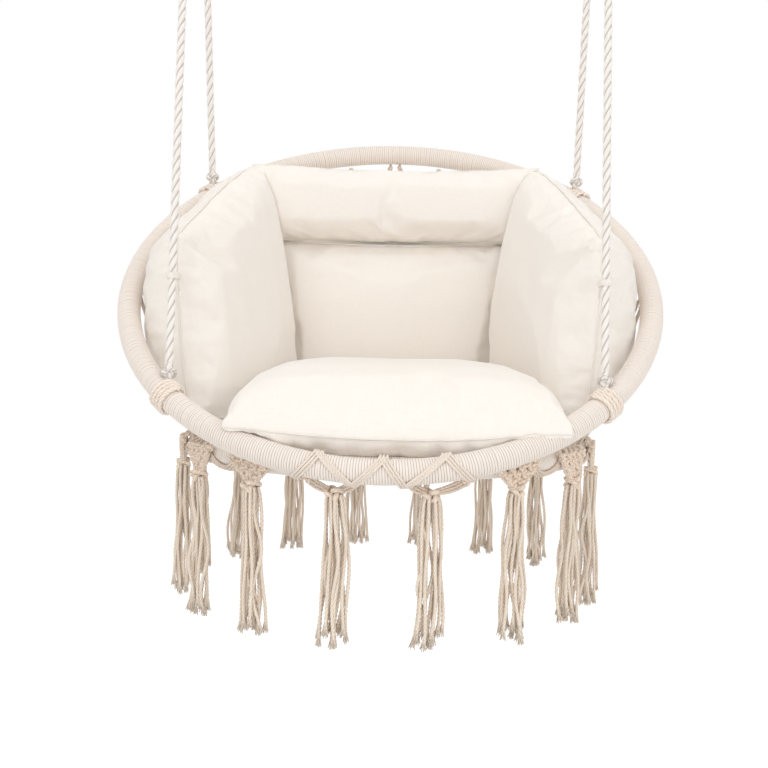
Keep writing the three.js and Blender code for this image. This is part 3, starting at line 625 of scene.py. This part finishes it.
def area_lamp(name, place, size, power):
    lamp = add_object(name, bpy.data.lights.new(name, "AREA"))
    lamp.data.size = size
    lamp.data.energy = power
    lamp.location = place
    aim = LAMP_AIM - Vector(place)
    lamp.rotation_euler = aim.to_track_quat("-Z", "Y").to_euler()


def seen_rays(nodes):
    """One for rays that show the background straight, in a mirror or through glass."""
    rays = nodes.add("LightPath").outputs
    seen = nodes.maths("MAXIMUM", rays["Is Camera Ray"], rays["Is Glossy Ray"])
    return nodes.maths("MAXIMUM", seen, rays["Is Transmission Ray"])


def light_world():
    world = bpy.data.worlds.new("studio")
    scene.world = world
    nodes = Nodes(world)
    sky = nodes.tree.nodes["Background"].inputs
    nodes.feed(sky["Strength"], nodes.range(seen_rays(nodes), WORLD_LIGHT, 1.0))
    nodes.feed(sky["Color"], (1, 1, 1, 1))


def lay_floor():
    """A floor that takes shadows near the chair and glows white where the camera sees it far off."""
    finish = Finish("floor_white")
    glow = finish.add("Emission", {"Strength": 1.15})
    pale = finish.add("BsdfDiffuse", {"Color": (0.9, 0.9, 0.9, 1)})
    away = finish.add("VectorMath", {0: finish.place()}, operation="LENGTH")
    far = finish.add("MapRange", {
        "Value": away.outputs["Value"], "From Min": 1.0, "From Max": 2.6, "To Min": 0.75,
    })
    share = finish.times(seen_rays(finish), far.outputs["Result"])
    mixed = finish.add("MixShader", {0: share, 1: pale.outputs[0], 2: glow.outputs[0]})
    finish.feed(finish.tree.nodes["Material Output"].inputs["Surface"], mixed.outputs[0])
    half = FLOOR_SIDE / 2
    mesh = bpy.data.meshes.new("floor")
    corners = [(-half, -half), (half, -half), (half, half), (-half, half)]
    mesh.from_pydata([(x, y, FLOOR_HEIGHT) for x, y in corners], [], [(0, 1, 2, 3)])
    mesh.materials.append(finish.material)
    add_object("floor", mesh)


scene.view_settings.view_transform = "Standard"
place_camera()
light_world()
lay_floor()
for lamp_name, lamp in LAMPS.items():
    area_lamp(lamp_name, *lamp)


# Ropes, their eyes and their hitches
def mirror(side):
    return np.array([1 if side == "left" else -1, 1, 1])


def eye_place(end):
    spacing = EYE_SPACING if end == "front" else -EYE_SPACING
    return np.array([-(HANG_SPAN + spacing) / 2, 0, 0])


def rope_eye(side, end):
    """A loop round the hanging ring's bottom wire and the whipping under it."""
    flip = mirror(side)
    hitch = big_point(-HITCH_ANGLES[end])
    down = unit([0, hitch[1], hitch[2]])
    eye = eye_place(end)
    loop = circle(eye + down * EYE_DROP, EYE_RADIUS, down, np.cross([1, 0, 0], down), 44)
    draft = Draft()
    tube(draft, loop * flip, EYE_STRAND, 12, 3, lay=EYE_LAY, closed=True)
    places = np.linspace(EYE_DROP + EYE_RADIUS - LAP, EYE_REACH, 73)
    reach = WHIPPING * (0.9 + 0.1 * np.abs(np.sin(math.pi * np.arange(len(places)) / 4)))
    tube(draft, (eye + down * places[:, None]) * flip, reach, 14)
    name = f"{side}_{end}_rope_eye"
    return draft.put(f"{name}_cotton", ROPE_COTTON, "rope_cotton", name)


def rope_strands(draft, line, radius):
    tube(draft, line, radius, 18, 3, 0.27, ROPE_LAY)


def rope(side, end, eye):
    """One taut rope with slight changes of its thickness, on points rounded to tenths."""
    route = np.round(np.linspace(*ROPE_ENDS[end], ROPE_POINTS), 1) * MM * mirror(side)
    line = even_line(smooth_line(route, 20), ROPE_STEP)
    number = np.arange(len(line))
    wander = 1 + 0.03 * np.sin(number * 0.31) * np.sin(number * 0.073)
    draft = Draft()
    rope_strands(draft, line, ROPE * wander)
    name = f"{side}_{end}_rope"
    made = draft.put(f"{name}_twisted", ROPE_COTTON, "rope_cotton", name)
    length = float(lengths_along(line)[-1])


def hitch(side, end):
    """Turns of rope round the upper hoop, and the knot where the rope leaves them."""
    flip = mirror(side)
    angle = -HITCH_ANGLES[end]
    centre = big_point(angle)
    way = unit(eye_place(end) - centre)
    start = math.atan2(way.dot(BIG_AXIS), way.dot(unit(centre - BIG_CENTRE)))
    lift = BIG_SECTION + HITCH_CORD * 0.9
    line = []
    for turn in np.linspace(-2, 2, 170):
        middle = big_point(angle + turn * HITCH_PITCH / BIG_RADIUS)
        around = start + TURN * turn
        away = unit(middle - BIG_CENTRE)
        line.append(middle + lift * (math.cos(around) * away + math.sin(around) * BIG_AXIS))
    turns = Draft()
    tube(turns, np.array(line) * flip, HITCH_CORD, 12, 3, groove=0.2, lay=HITCH_LAY)
    turns.put(f"{side}_{end}_hitch_turns", LASHING, "rope_cotton")
    draft = Draft()
    stub = centre + way * np.linspace(BIG_SECTION, HITCH_REACH + LAP, 14)[:, None]
    rope_strands(draft, stub * flip, ROPE * 0.98)
    east = unit(np.cross(way, BIG_AXIS))
    out = np.cross(east, way)
    place = centre + way * HITCH_KNOT_REACH
    knot(draft, place * flip, east * flip, way * flip, out * flip, *HITCH_KNOT)
    node = f"{side}_{end}_rope_hitch"
    draft.put(f"{side}_{end}_hitch_cotton", ROPE_COTTON, "rope_cotton", node)


def hang_ring(side):
    count = 80
    centre = np.array([-HANG_SPAN / 2, 0, RING_RADIUS]) * mirror(side)
    line = circle(centre, RING_RADIUS, np.array([1, 0, 0]), UPWARD, count)
    from_top = (TURN * np.arange(count) / count - math.pi / 2) * RING_RADIUS
    weld = 1 + 0.14 * np.exp(-(from_top / RING_WELD) ** 2)
    draft = Draft()
    tube(draft, line, RING_WIRE * weld, 20, closed=True)
    node = f"{side}_hang_ring"
    draft.put(f"{side}_steel_ring", RING_STEEL, "ring_steel", node, body="hang_rings")


for side in ("left", "right"):
    for end in ("front", "rear"):
        rope(side, end, rope_eye(side, end))
        hitch(side, end)
hang_ring("left")
hang_ring("right")


# Hoop windings: one cord laid turn beside turn, with its turns along the rows of points
def winding(hoop, centre, axis, radius, section, turns, sides, samples, seed):
    chance = np.random.default_rng(seed)
    ridge = np.sqrt(1 - (2 * np.arange(samples) / samples - 1) ** 2)
    uneven = chance.normal(0, WINDING_UNEVEN, turns)[:, None] * ridge[None]
    reach = (section - WINDING_GROOVE * (1 - ridge))[None] + uneven
    reach = reach.reshape(-1, 1)
    shift = np.repeat(chance.normal(0, 0.05, turns), samples)[:, None]
    rows = turns * samples
    row, side = np.indices((rows, sides))
    phi = TURN * (row / samples + side / sides + shift) / turns
    theta = TURN * side / sides
    forward = unit(np.cross([1, 0, 0], axis))
    away = np.sin(phi)[..., None] * np.array([1.0, 0, 0]) - np.cos(phi)[..., None] * forward
    flat = (radius + reach * np.cos(theta))[..., None] * away
    points = centre + flat + (reach * np.sin(theta))[..., None] * axis
    row_of = np.stack([row, row + 1, row + 1, row], -1).reshape(-1, 4)
    side_of = np.stack([side, side, side + 1, side + 1], -1).reshape(-1, 4)
    wrapped = side_of == sides
    faces = ((row_of + samples * wrapped) % rows) * sides + side_of % sides
    # Each turn counts as one ply of the cotton, so its painted groove shade falls in the valleys between
    # turns
    coords = np.stack([side_of / sides * TURN * section, row_of / samples], -1)
    draft = Draft()
    draft.add(points, (faces, coords))
    draft.put(f"{hoop}_cord", WINDING, "winding_cotton", f"{hoop}_winding")


winding("big_hoop", BIG_CENTRE, BIG_AXIS, BIG_RADIUS, BIG_SECTION, BIG_TURNS, 20, 5, 11)
winding("small_hoop", SMALL_CENTRE, UPWARD, SMALL_RADIUS, SMALL_SECTION, SMALL_TURNS, 16, 4, 12)


# Nets
def net_leg(draft, start, end, out):
    """Two cords side by side between two knots, a little slack."""
    way = unit(end - start)
    beside = np.cross(out, way)
    share = np.linspace(0, 1, 9)[:, None]
    slack = 4 * share * (1 - share)
    for offset in (-1, 1):
        line = start + (end - start) * share + offset * beside * (NET_CORD + NET_SLACK * slack)
        tube(draft, line, NET_CORD, 7)


def net(draft, rows, columns, closed, place):
    """Knots on a lattice, each odd row half a column on. place gives centre, east, north, out."""
    count = [columns if closed or row % 2 else columns + 1 for row in range(rows + 1)]
    knots = {
        (row, column): place(column + (row % 2) / 2, row)
        for row in range(rows + 1) for column in range(count[row])
    }
    for (row, column), (centre, east, north, out) in knots.items():
        at_hoop = not closed and row in (0, rows)
        size = NET_KNOT * (0.7 if at_hoop else 1.15)
        knot(draft, centre, east, north, out, size, NET_KNOT_CORD)
        for beside in (column + row % 2, column + row % 2 - 1):
            below = (row + 1, beside % columns if closed else beside)
            if below in knots:
                net_leg(draft, centre, knots[below][0], out)


def basket_line(angle):
    """The straight line between the two hoops at one angle, with its directions."""
    top, bottom = big_point(angle), small_point(angle)
    north = unit(top - bottom)
    big_way = unit(big_point(angle + math.pi / 2) - BIG_CENTRE)
    small_way = np.array([math.cos(angle), math.sin(angle), 0])
    out = unit(np.cross(big_way + small_way, north))
    east = unit(np.cross(north, out))

    def reach(way, radius):
        sine = norm(np.cross(way, north))
        return radius / sine + NET_KNOT / 2 * max(1, abs(way.dot(north)) / sine)

    return top, bottom, north, out, east, reach(big_way, BIG_SECTION), reach(small_way, SMALL_SECTION)


def basket_net(side, name, from_angle, to_angle, columns, rows):
    flip = mirror(side)
    edge = NET_KNOT / 2 / SMALL_RADIUS
    low, high = -math.radians(to_angle) + edge, -math.radians(from_angle) - edge

    def place(column, row):
        top, bottom, north, out, east, top_reach, bottom_reach = basket_line(
            low + (high - low) * column / columns
        )
        span = norm(top - bottom) - top_reach - bottom_reach
        centre = top - north * (top_reach + span * row / rows)
        return centre * flip, east * flip, north * flip, out * flip

    draft = Draft()
    net(draft, rows, columns, False, place)
    for column in (0, columns):
        top, bottom, north, *_ = basket_line(low + (high - low) * column / columns)
        length = norm(top - bottom)
        rib = top - north * np.linspace(BIG_SECTION, length - SMALL_SECTION, 40)[:, None]
        tube(draft, rib * flip, RIB_CORD, 9, 3, lay=LASHING_LAY)
    draft.put(f"{side}_{name}_cord", CORD, "net_cotton", f"{side}_{name}")


def seat_net():
    radius = SMALL_RADIUS - SMALL_SECTION

    def place(column, row):
        angle = -TURN * column / SEAT_NET_COLUMNS
        reach = (radius - NET_KNOT) * SEAT_NET_SHARES[row]
        slope = 2 * SEAT_NET_SAG * reach / radius**2
        centre = small_point(angle, reach)
        centre[2] -= SEAT_NET_SAG * (1 - (reach / radius) ** 2)
        away = unit(small_point(angle) - SMALL_CENTRE)
        north = unit(away + UPWARD * slope)
        east = np.cross(north, UPWARD)
        return centre, unit(east), north, unit(np.cross(east, north))

    draft = Draft()
    net(draft, len(SEAT_NET_SHARES) - 1, SEAT_NET_COLUMNS, True, place)
    draft.put("seat_net_cord", CORD, "net_cotton", "seat_net")


for side in ("left", "right"):
    for panel in BASKET_NETS:
        basket_net(side, *panel)
seat_net()


# Front lashings: loops of cord round both hoops, which lean from their bottom to their top
def lashing_loop(draft, bottom_x, top_x):
    gap = small_point(0) - big_point(0)
    slope = math.atan2(-gap[2], gap[1])
    half = math.pi / 2
    arcs = [
        (small_point, SMALL_RADIUS, SMALL_SECTION, -half),
        (big_point, BIG_RADIUS, BIG_SECTION, half),
    ]
    for offset in (-1, 0, 1):
        line = []
        for hoop, radius, section, first in arcs:
            for angle in np.linspace(first, first + math.pi, 14) - slope:
                rise = (1 + math.sin(angle)) / 2
                x = bottom_x + (top_x - bottom_x) * rise + offset * 2 * LASHING_CORD
                centre = hoop(math.asin(x / radius))
                reach = section + LASHING_CORD * 0.92
                line.append(centre + [0, reach * math.cos(angle), reach * math.sin(angle)])
        tube(draft, even_loop(line, THIN_STEP), LASHING_CORD, 9, 3, lay=LASHING_LAY, closed=True,
             start=offset)


def even_loop(points, step):
    line = even_line(smooth_line(points, 6, closed=True), step)
    return line[:-1] if norm(line[0] - line[-1]) < step / 2 else line


for number, (bottom, tops) in enumerate(LASHINGS, 1):
    draft = Draft()
    for top in tops:
        lashing_loop(draft, bottom * MM, top * MM)
    name = f"front_lashing_{number}"
    draft.put(f"{name}_cords", LASHING, "net_cotton", name)


# Tassels
class Spot:
    """The place of one tassel under the lower hoop, with its directions."""

    def __init__(self, number):
        self.turn = TURN * (number - 0.5) / TASSEL_COUNT
        self.away = np.array([math.sin(self.turn), -math.cos(self.turn), 0])
        self.beside = np.array([math.cos(self.turn), math.sin(self.turn), 0])
        self.origin = SMALL_CENTRE + self.away * TASSEL_RADIUS
        self.knot = self.origin - UPWARD * TASSEL_KNOT_DROP

    def at(self, beside, up, away=0):
        """A place so many millimetres beside, over and outside the origin."""
        return self.origin + (self.beside * beside + UPWARD * up + self.away * away) * MM

    def hook(self, place, steps):
        """Places on the way from one to behind and over it."""
        return np.array([place + (UPWARD * up - self.away * back) * MM for back, up in steps])

    def tie(self, draft, place, *sizes):
        knot(draft, place, self.beside, UPWARD, self.away, *sizes)


def spiral(number, count):
    """The turn of one of so many cords about their middle, and its share of their reach."""
    return number * math.radians(137.5), math.sqrt((number + 0.5) / count)


def skirt(draft, chance, spot):
    """Strands that hang from the knot, spread a little and end in frayed fibres."""
    start = spot.knot - UPWARD * LAP
    share = np.linspace(0, 1, 84)
    swell = np.sin(math.pi * share)
    wide, deep = (np.interp(share, SKIRT_SHARES, sizes) * MM for sizes in (SKIRT_WIDTHS, SKIRT_DEPTHS))
    lean = chance.normal(0, SKIRT_LEAN, 2)
    bow = chance.normal(0, SKIRT_BOW, 2)
    for number in range(TASSEL_STRANDS):
        turn, spread = spiral(number, TASSEL_STRANDS)
        turn += chance.uniform(-0.25, 0.25)
        loose = 1 + chance.exponential(0.6)
        wave, other = (
            chance.uniform(0.9, 2.2) * loose * MM * np.minimum(1, 3 * share)
            * np.sin(TURN * (share * chance.uniform(0.7, 2.2) + chance.uniform(0, 1)))
            for _ in range(2)
        )
        x = spread * math.cos(turn) * wide + wave + lean[0] * share**2 + bow[0] * swell
        y = spread * math.sin(turn) * deep + other + lean[1] * share**2 + bow[1] * swell
        drop = (TASSEL_SKIRT + chance.uniform(*SKIRT_UNEVEN) * MM) * share
        line = start + x[:, None] * spot.beside + y[:, None] * spot.away - drop[:, None] * UPWARD
        body = line[:-6]
        tube(draft, even_line(body, STRAND_STEP), STRAND, 9, 3, groove=0.32, lay=STRAND_LAY,
             start=chance.uniform(0, TURN))
        fray(draft, chance, body[-3], unit(line[-1] - body[-3]))


def fray(draft, chance, place, way):
    """The untwisted end of a strand: fine fibres that open like a brush."""
    side = unit(np.cross(way, [0.3, 1, 0.1]))
    top = np.cross(way, side)
    share = np.linspace(0, 1, 5)[:, None]
    thin = FIBRE * np.interp(share[:, 0], [0, 0.6, 1], [1, 1, 0.75])
    for number in range(FIBRE_COUNT):
        turn, spread = spiral(number, FIBRE_COUNT)
        across = math.cos(turn) * side + math.sin(turn) * top
        reach = STRAND * spread * (0.75 + chance.uniform(0.7, 1.3) * share**1.5)
        length = chance.uniform(12, 16) * MM
        tube(draft, place + way * length * share + across * reach, thin, 5)


def bundle(draft, start, end, bend, cords, thick, beside):
    """Cords side by side in a slack line between two places."""
    share = np.linspace(0, 1, 14)[:, None]
    for number in range(cords):
        offset = (number - (cords - 1) / 2) * 1.85 * thick
        narrow = 1 - 0.55 * share**3
        line = start + (end - start) * share + bend * 4 * share * (1 - share) + beside * offset * narrow
        thin_cord(draft, line, thick, number)


def triangle_panel(draft, chance, spot):
    """Rows of knots that narrow from the hoop down to the tassel's knot, edged by two bundles."""
    places = [
        [
            spot.at(x, height + chance.uniform(-1, 1), chance.uniform(-1, 1))
            for x in np.linspace(-half, half, count)
        ]
        for height, count, half in PANEL_ROWS
    ]
    for row in places:
        for place in row:
            spot.tie(draft, place, chance.uniform(*PANEL_KNOT) * MM, PANEL_KNOT_CORD, 0.5)
    places.append([spot.origin - UPWARD * TASSEL_KNOT_DROP * 0.9])
    for upper, lower in zip(places, places[1:]):
        for i, place in enumerate(upper):
            for j in {min(i, len(lower) - 1), max(i - 1, 0)}:
                net_leg(draft, place, lower[j], spot.away)
    for place in places[0]:
        tube(draft, smooth_line(spot.hook(place, PANEL_HOOK), 4), PANEL_CORD, 7)
    for arm in (-1, 1):
        start = spot.at(arm * EDGE_START[0], EDGE_START[1])
        end = spot.origin - UPWARD * TASSEL_KNOT_DROP * 0.95 + spot.beside * arm * EDGE_END * MM
        across = unit(np.cross(spot.away, end - start))
        bundle(draft, start, end, spot.beside * arm * PANEL_BEND, 2, PANEL_CORD, across)


def front_arms(draft, spot, reaches):
    """Two bundles of cords that come down from the hoops and meet in the knot."""
    for arm, reach in zip((-1, 1), reaches):
        top = spot.at(arm * reach, *ARM_START)
        end = spot.knot + (spot.beside * arm * ARM_END[0] + UPWARD * ARM_END[1]) * MM
        across = unit(np.cross(spot.away, end - top))
        bundle(draft, top, end, -UPWARD * PANEL_BEND, 3, HANGING_CORD, across)
        back = spot.hook(top, ARM_HOOK)
        for offset in (-1, 0, 1):
            line = smooth_line(back + spot.beside * offset * 4 * MM, 6)
            thin_cord(draft, line, PANEL_CORD, groove=0.26)
        spot.tie(draft, top, *ARM_KNOT)


def swag(draft, turn):
    """Three cords on the lower hoop's winding, from one knotted panel down and up to the next."""
    share = np.linspace(0, 1, 26)
    phi = turn + TURN / TASSEL_COUNT * np.interp(share, [0, 1], SWAG_SHARES)
    around = np.stack([np.sin(phi), -np.cos(phi), np.zeros(len(phi))], -1)
    section = SMALL_SECTION + HANGING_CORD
    for place in (-1, 0, 1):
        low = SWAG_TOP + SWAG_DROP * np.sin(math.pi * share) + place * 1.9 * HANGING_CORD / section
        radius = SMALL_RADIUS + section * np.cos(low)
        line = SMALL_CENTRE + radius[:, None] * around - (section * np.sin(low))[:, None] * UPWARD
        thin_cord(draft, line, HANGING_CORD, place)


def tassel(number):
    """Panel or arms, knot and skirt. The lashings leave no room for a swag at the front."""
    chance = np.random.default_rng(100 + number)
    spot = Spot(number)
    panel = Draft()
    if number in FRONT_ARMS:
        front_arms(panel, spot, FRONT_ARMS[number])
    else:
        triangle_panel(panel, chance, spot)
    if 1 < number < TASSEL_COUNT - 1:
        swag(panel, spot.turn)
    knot(panel, spot.knot, spot.beside, UPWARD * 0.7, spot.away, *TASSEL_KNOT)
    name = f"tassel_{number:02}"
    panel.put(f"{name}_knots", PANEL, "tassel_cotton")
    strands = Draft()
    skirt(strands, chance, spot)
    strands.put(f"{name}_cords", STRANDS, "tassel_cotton", name)


for number in range(1, TASSEL_COUNT + 1):
    tassel(number)


# Cushions
SLACK_SHARE = 0.97
FIRST_SWELL = 2 * MM
SWELL_CAP = 11 * MM
FREE_SWELL = 5 * MM
CONTACT = 0.5 * MM
CLOTH_FRAMES = 20
CLOTH_SETTINGS = {
    "quality": 5, "mass": 0.3, "tension_stiffness": 12, "compression_stiffness": 12,
    "shear_stiffness": 4, "bending_stiffness": 0.4, "vertex_group_mass": "seam",
    "use_pressure": True, "uniform_pressure_force": 4, "shrink_min": -0.035,
}
PUCKER_PITCHES = np.array([19, 13, 31, 47]) * MM
PUCKER_START = 4 * MM
PUCKER_REACH = 21 * MM
PUCKER_RISE = 1.5 * MM
CREASE_RISE = 2.1 * MM
DENT_RISE = 0.9 * MM
SEAM_CORD = 1.3 * MM


def corners_of(shape):
    return BIG_CENTRE + BIG_RADIUS * np.array(shape["corner_shares"])


def pillow(shape, flip):
    """A crowned closed form of quads, its cloth coordinates and its seam's corner numbers."""
    a, b, c, d = corners_of(shape)
    normal = unit(np.cross(c - a, d - b))
    across, along = shape["cells"]
    even = [np.linspace(-1, 1, cells + 1) for cells in (across, along)]
    u, v = np.meshgrid(*[0.3 * s + 0.7 * np.sin(math.pi / 2 * s) for s in even])
    u, v = u[..., None], v[..., None]
    s = u * (1 - shape["draw_in"] * (1 - v * v))
    t = v * (1 - shape["draw_in"] * (1 - u * u))
    low = a + (b - a) * (s + 1) / 2
    high = d + (c - d) * (s + 1) / 2
    middle = low + (high - low) * (t + 1) / 2 + normal * shape["bend"] * MM * (u * u - 1)
    front, rear = (
        middle + normal * way * crown * MM * SLACK_SHARE
        * np.clip((1 - np.abs(u) ** power) * (1 - np.abs(v) ** power), 0, None) ** root
        for way, (crown, (power, root)) in zip((1, -1), shape["crowns"])
    )
    number = np.arange((along + 1) * (across + 1)).reshape(along + 1, across + 1)
    inner = np.zeros_like(number, bool)
    inner[1:-1, 1:-1] = True
    behind = number.copy()
    behind[inner] = number.size + np.arange(inner.sum())
    quads = np.concatenate([sheet_quads(number), sheet_quads(behind)[:, ::-1]])
    points = np.concatenate([front.reshape(-1, 3), rear[inner]]) * flip
    flat = np.stack([u[..., 0] * norm(b - a) / 2, v[..., 0] * norm(c - b) / 2], -1)
    flat = np.concatenate([flat.reshape(-1, 2), flat[inner]])
    if flip[0] < 0:
        quads = quads[:, ::-1]
    return points, quads, flat, sheet_rim(number)


def solid_tree(names):
    points, triangles, count = [], [], 0
    for name in names:
        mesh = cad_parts[name].data
        mesh.calc_loop_triangles()
        points += [vertex.co.copy() for vertex in mesh.vertices]
        triangles += [[count + i for i in t.vertices] for t in mesh.loop_triangles]
        count = len(points)
    return BVHTree.FromPolygons(points, triangles)


def fit_in_space(points, own, others, swell):
    """Brings points that stand too far out of their solid back to it, clear of the others."""
    fitted = points.copy()
    for i, point in enumerate(points):
        near, normal, _, far = own.find_nearest(point)
        outside = (Vector(point) - near).dot(normal)
        allowed = min(swell, max(0.0, others.find_nearest(near)[3] - CONTACT))
        if outside > allowed or (outside > 0 and far > swell):
            fitted[i] = near + normal * allowed
    return fitted


def smoother(faces, count):
    """A function that moves points a share of the way to the middle of their neighbours."""
    pairs = np.concatenate([faces[:, [k, (k + 1) % 4]] for k in range(4)])
    pairs = np.unique(np.sort(pairs, axis=1), axis=0)
    degree = np.bincount(pairs.ravel(), minlength=count)

    def smooth(points, share):
        total = np.zeros_like(points)
        np.add.at(total, pairs[:, 0], points[pairs[:, 1]])
        np.add.at(total, pairs[:, 1], points[pairs[:, 0]])
        return points + share * (total / degree[:, None] - points)

    return smooth


class Cushion:
    def __init__(self, name, shape, flip, seed):
        self.name, self.shape, self.seed = name, shape, seed
        self.points, self.faces, self.flat, self.seam = pillow(shape, flip)
        self.space = solid_tree([name]), solid_tree([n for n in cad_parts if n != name])
        self.smooth = smoother(self.faces, len(self.points))
        self.points = fit_in_space(self.points, *self.space, FIRST_SWELL)
        for _ in range(2):
            self.points = self.smooth(self.points, 0.5)
        draft = Draft()
        draft.add(self.points, (self.faces, self.flat[self.faces]))
        self.piece = draft.make(f"{name}_cloth", CLOTH)

    def start_cloth(self):
        seam = self.piece.vertex_groups.new(name="seam")
        seam.add([int(i) for i in self.seam], 1.0, "REPLACE")
        cloth = self.piece.modifiers.new("swell", "CLOTH")
        for name, value in CLOTH_SETTINGS.items():
            setattr(cloth.settings, name, value)
        cloth.settings.effector_weights.gravity = 0
        cloth.point_cache.frame_end = CLOTH_FRAMES

    def take_cloth(self):
        evaluated = self.piece.evaluated_get(bpy.context.evaluated_depsgraph_get())
        swollen = np.empty(len(self.points) * 3, np.float32)
        evaluated.data.vertices.foreach_get("co", swollen)
        self.piece.modifiers.remove(self.piece.modifiers["swell"])
        move = swollen.reshape(-1, 3) - self.points
        length = norm(move, axis=1)[:, None]
        self.points = self.points + move * np.minimum(1, SWELL_CAP / np.maximum(length, 1e-9))

    def show(self):
        mesh = self.piece.data
        mesh.vertices.foreach_set("co", self.points.astype(np.float32).ravel())
        mesh.update()
        return mesh

    def pucker(self):
        """Short gathers beside the seam, and slight lasting creases and dents elsewhere."""
        chance = np.random.default_rng(self.seed)
        seam_points = self.points[self.seam]
        along = lengths_along(seam_points)
        phases = chance.uniform(0, TURN, len(PUCKER_PITCHES))
        waves = np.sin(TURN * along[:, None] / PUCKER_PITCHES + phases).sum(axis=1)
        normals = np.array([vertex.normal for vertex in self.show().vertices])
        for i, point in enumerate(self.points):
            off = norm(seam_points - point, axis=1)
            near = int(off.argmin())
            fold = math.exp(-off[near] / PUCKER_REACH) * min(1, off[near] / PUCKER_START)
            crease = noise.noise(Vector(point) * 9 + Vector((self.seed, 0, 0)))
            dent = noise.noise(Vector(point) * 23 + Vector((0, self.seed, 0)))
            rise = PUCKER_RISE * fold * waves[near] + CREASE_RISE * crease + DENT_RISE * dent
            self.points[i] = point + normals[i] * rise

    def finish(self, body):
        self.pucker()
        self.points = fit_in_space(self.points, *self.space, FREE_SWELL)
        self.points = self.smooth(self.points, 0.35)
        self.show()
        self.piece.modifiers.new("finer", "SUBSURF").levels = 1
        put(self.piece, "cushion_cloth", self.name, body=body)
        draft = Draft()
        tube(draft, self.points[self.seam], SEAM_CORD, 8, closed=True)
        draft.put(f"{self.name}_seam", CLOTH, "cushion_cloth", body=body)


CUSHIONS["right_wing_cushion"] = CUSHIONS["left_wing_cushion"]
cushions = [
    Cushion(name, shape, mirror("right" if name.startswith("right") else "left"), 40 + number)
    for number, (name, shape) in enumerate(CUSHIONS.items())
]
for cushion in cushions:
    cushion.start_cloth()
for step in range(1, CLOTH_FRAMES + 1):
    scene.frame_set(step)
for cushion in cushions:
    cushion.take_cloth()
scene.frame_set(1)
for cushion in cushions:
    cushion.finish("seat_cushion" if cushion.name == "seat_cushion" else "chair")


# Fabric ties between the front ropes and the wing cushions, with tables in millimetres
TIE_EDGE_SHARE = 0.768
TIE_RING = 7.6 * MM
TIE_BAND = (4.5 * MM, 0.8 * MM)
TIE_END = (3 * MM, 0.6 * MM)
TIE_KNOT = (12 * MM, 2.1 * MM, 0.5)
TIE_KNOT_OUT = 10 * MM
TIE_ENDS_OUT = 12 * MM
# Steps of the strap off the rope and up it, and of a loose end beside and under the knot
TIE_STRAP = [(8, 0), (24, 1.5)]
TIE_ENDS = [(0, 0), (5, 8), (7, 20)]
STRIP_DEPTH = 1.4 * MM


def ribbon_section(half_width, half_thickness):
    """A flat oval section, wide along the side direction."""
    angles = TURN * np.arange(10) / 10
    return np.stack([np.cos(angles) * half_width, np.sin(angles) * half_thickness], -1)


def tie(side):
    """A band round the rope, a strap from it to the wing's edge, a knot and two loose ends."""
    flip = mirror(side)
    top, bottom = np.array(ROPE_ENDS["front"]) * MM
    low, _, _, high = corners_of(CUSHIONS["left_wing_cushion"])
    edge = low + (high - low) * TIE_EDGE_SHARE
    centre = top + (bottom - top) * (top[2] - edge[2]) / (top[2] - bottom[2])
    way = unit(top - bottom)
    out = unit(edge - centre)
    other = np.cross(way, out)
    band = ribbon_section(*TIE_BAND)
    draft = Draft()
    ring = circle(centre, TIE_RING, out, other, 28)
    sweep(draft, ring * flip, band, closed=True, first_side=way * flip)
    strap = [centre + (out * off + way * up) * MM for off, up in TIE_STRAP]
    strap = smooth_line([*strap, edge + out * LAP], 8)
    sweep(draft, strap * flip, band, first_side=way * flip)
    place = centre + out * TIE_KNOT_OUT
    knot(draft, place * flip, other * flip, way * flip, out * flip, *TIE_KNOT)
    for lean in (-1, 1):
        end = centre + out * TIE_ENDS_OUT
        loose = [end + (other * lean * off - UPWARD * drop) * MM for off, drop in TIE_ENDS]
        section = ribbon_section(*TIE_END)
        sweep(draft, smooth_line(loose, 6) * flip, section, first_side=out * flip)
    draft.put(f"{side}_tie_cloth", CLOTH, "cushion_cloth", f"{side}_cushion_tie")


def sewn_strip(low, high):
    """The cloth that joins the back cushion's top seam to the head roll's bottom seam."""
    lines = []
    for cushion, row in ((low, -1), (high, 0)):
        across, along = cushion.shape["cells"]
        corners = np.arange((along + 1) * (across + 1)).reshape(along + 1, across + 1)[row]
        lines.append(even_count(cushion.points[corners], 61))
    share = np.linspace(0, 1, 7)[:, None, None]
    front = lines[0] + (lines[1] - lines[0]) * share
    back = front + np.array([0, STRIP_DEPTH, 0])
    number = np.arange(front[..., 0].size).reshape(front.shape[:2])
    quads = sheet_quads(number)
    rim = sheet_rim(number)
    next_rim = np.roll(rim, -1)
    edge = np.stack([rim, rim + number.size, next_rim + number.size, next_rim], -1)
    faces = np.concatenate([quads, quads[:, ::-1] + number.size, edge])
    points = np.concatenate([front.reshape(-1, 3), back.reshape(-1, 3)])
    draft = Draft()
    draft.add(points, (faces, points[faces][..., [0, 2]]))
    draft.put("head_roll_sewn_strip", CLOTH, "cushion_cloth")


tie("left")
tie("right")
sewn_strip(cushions[1], cushions[2])
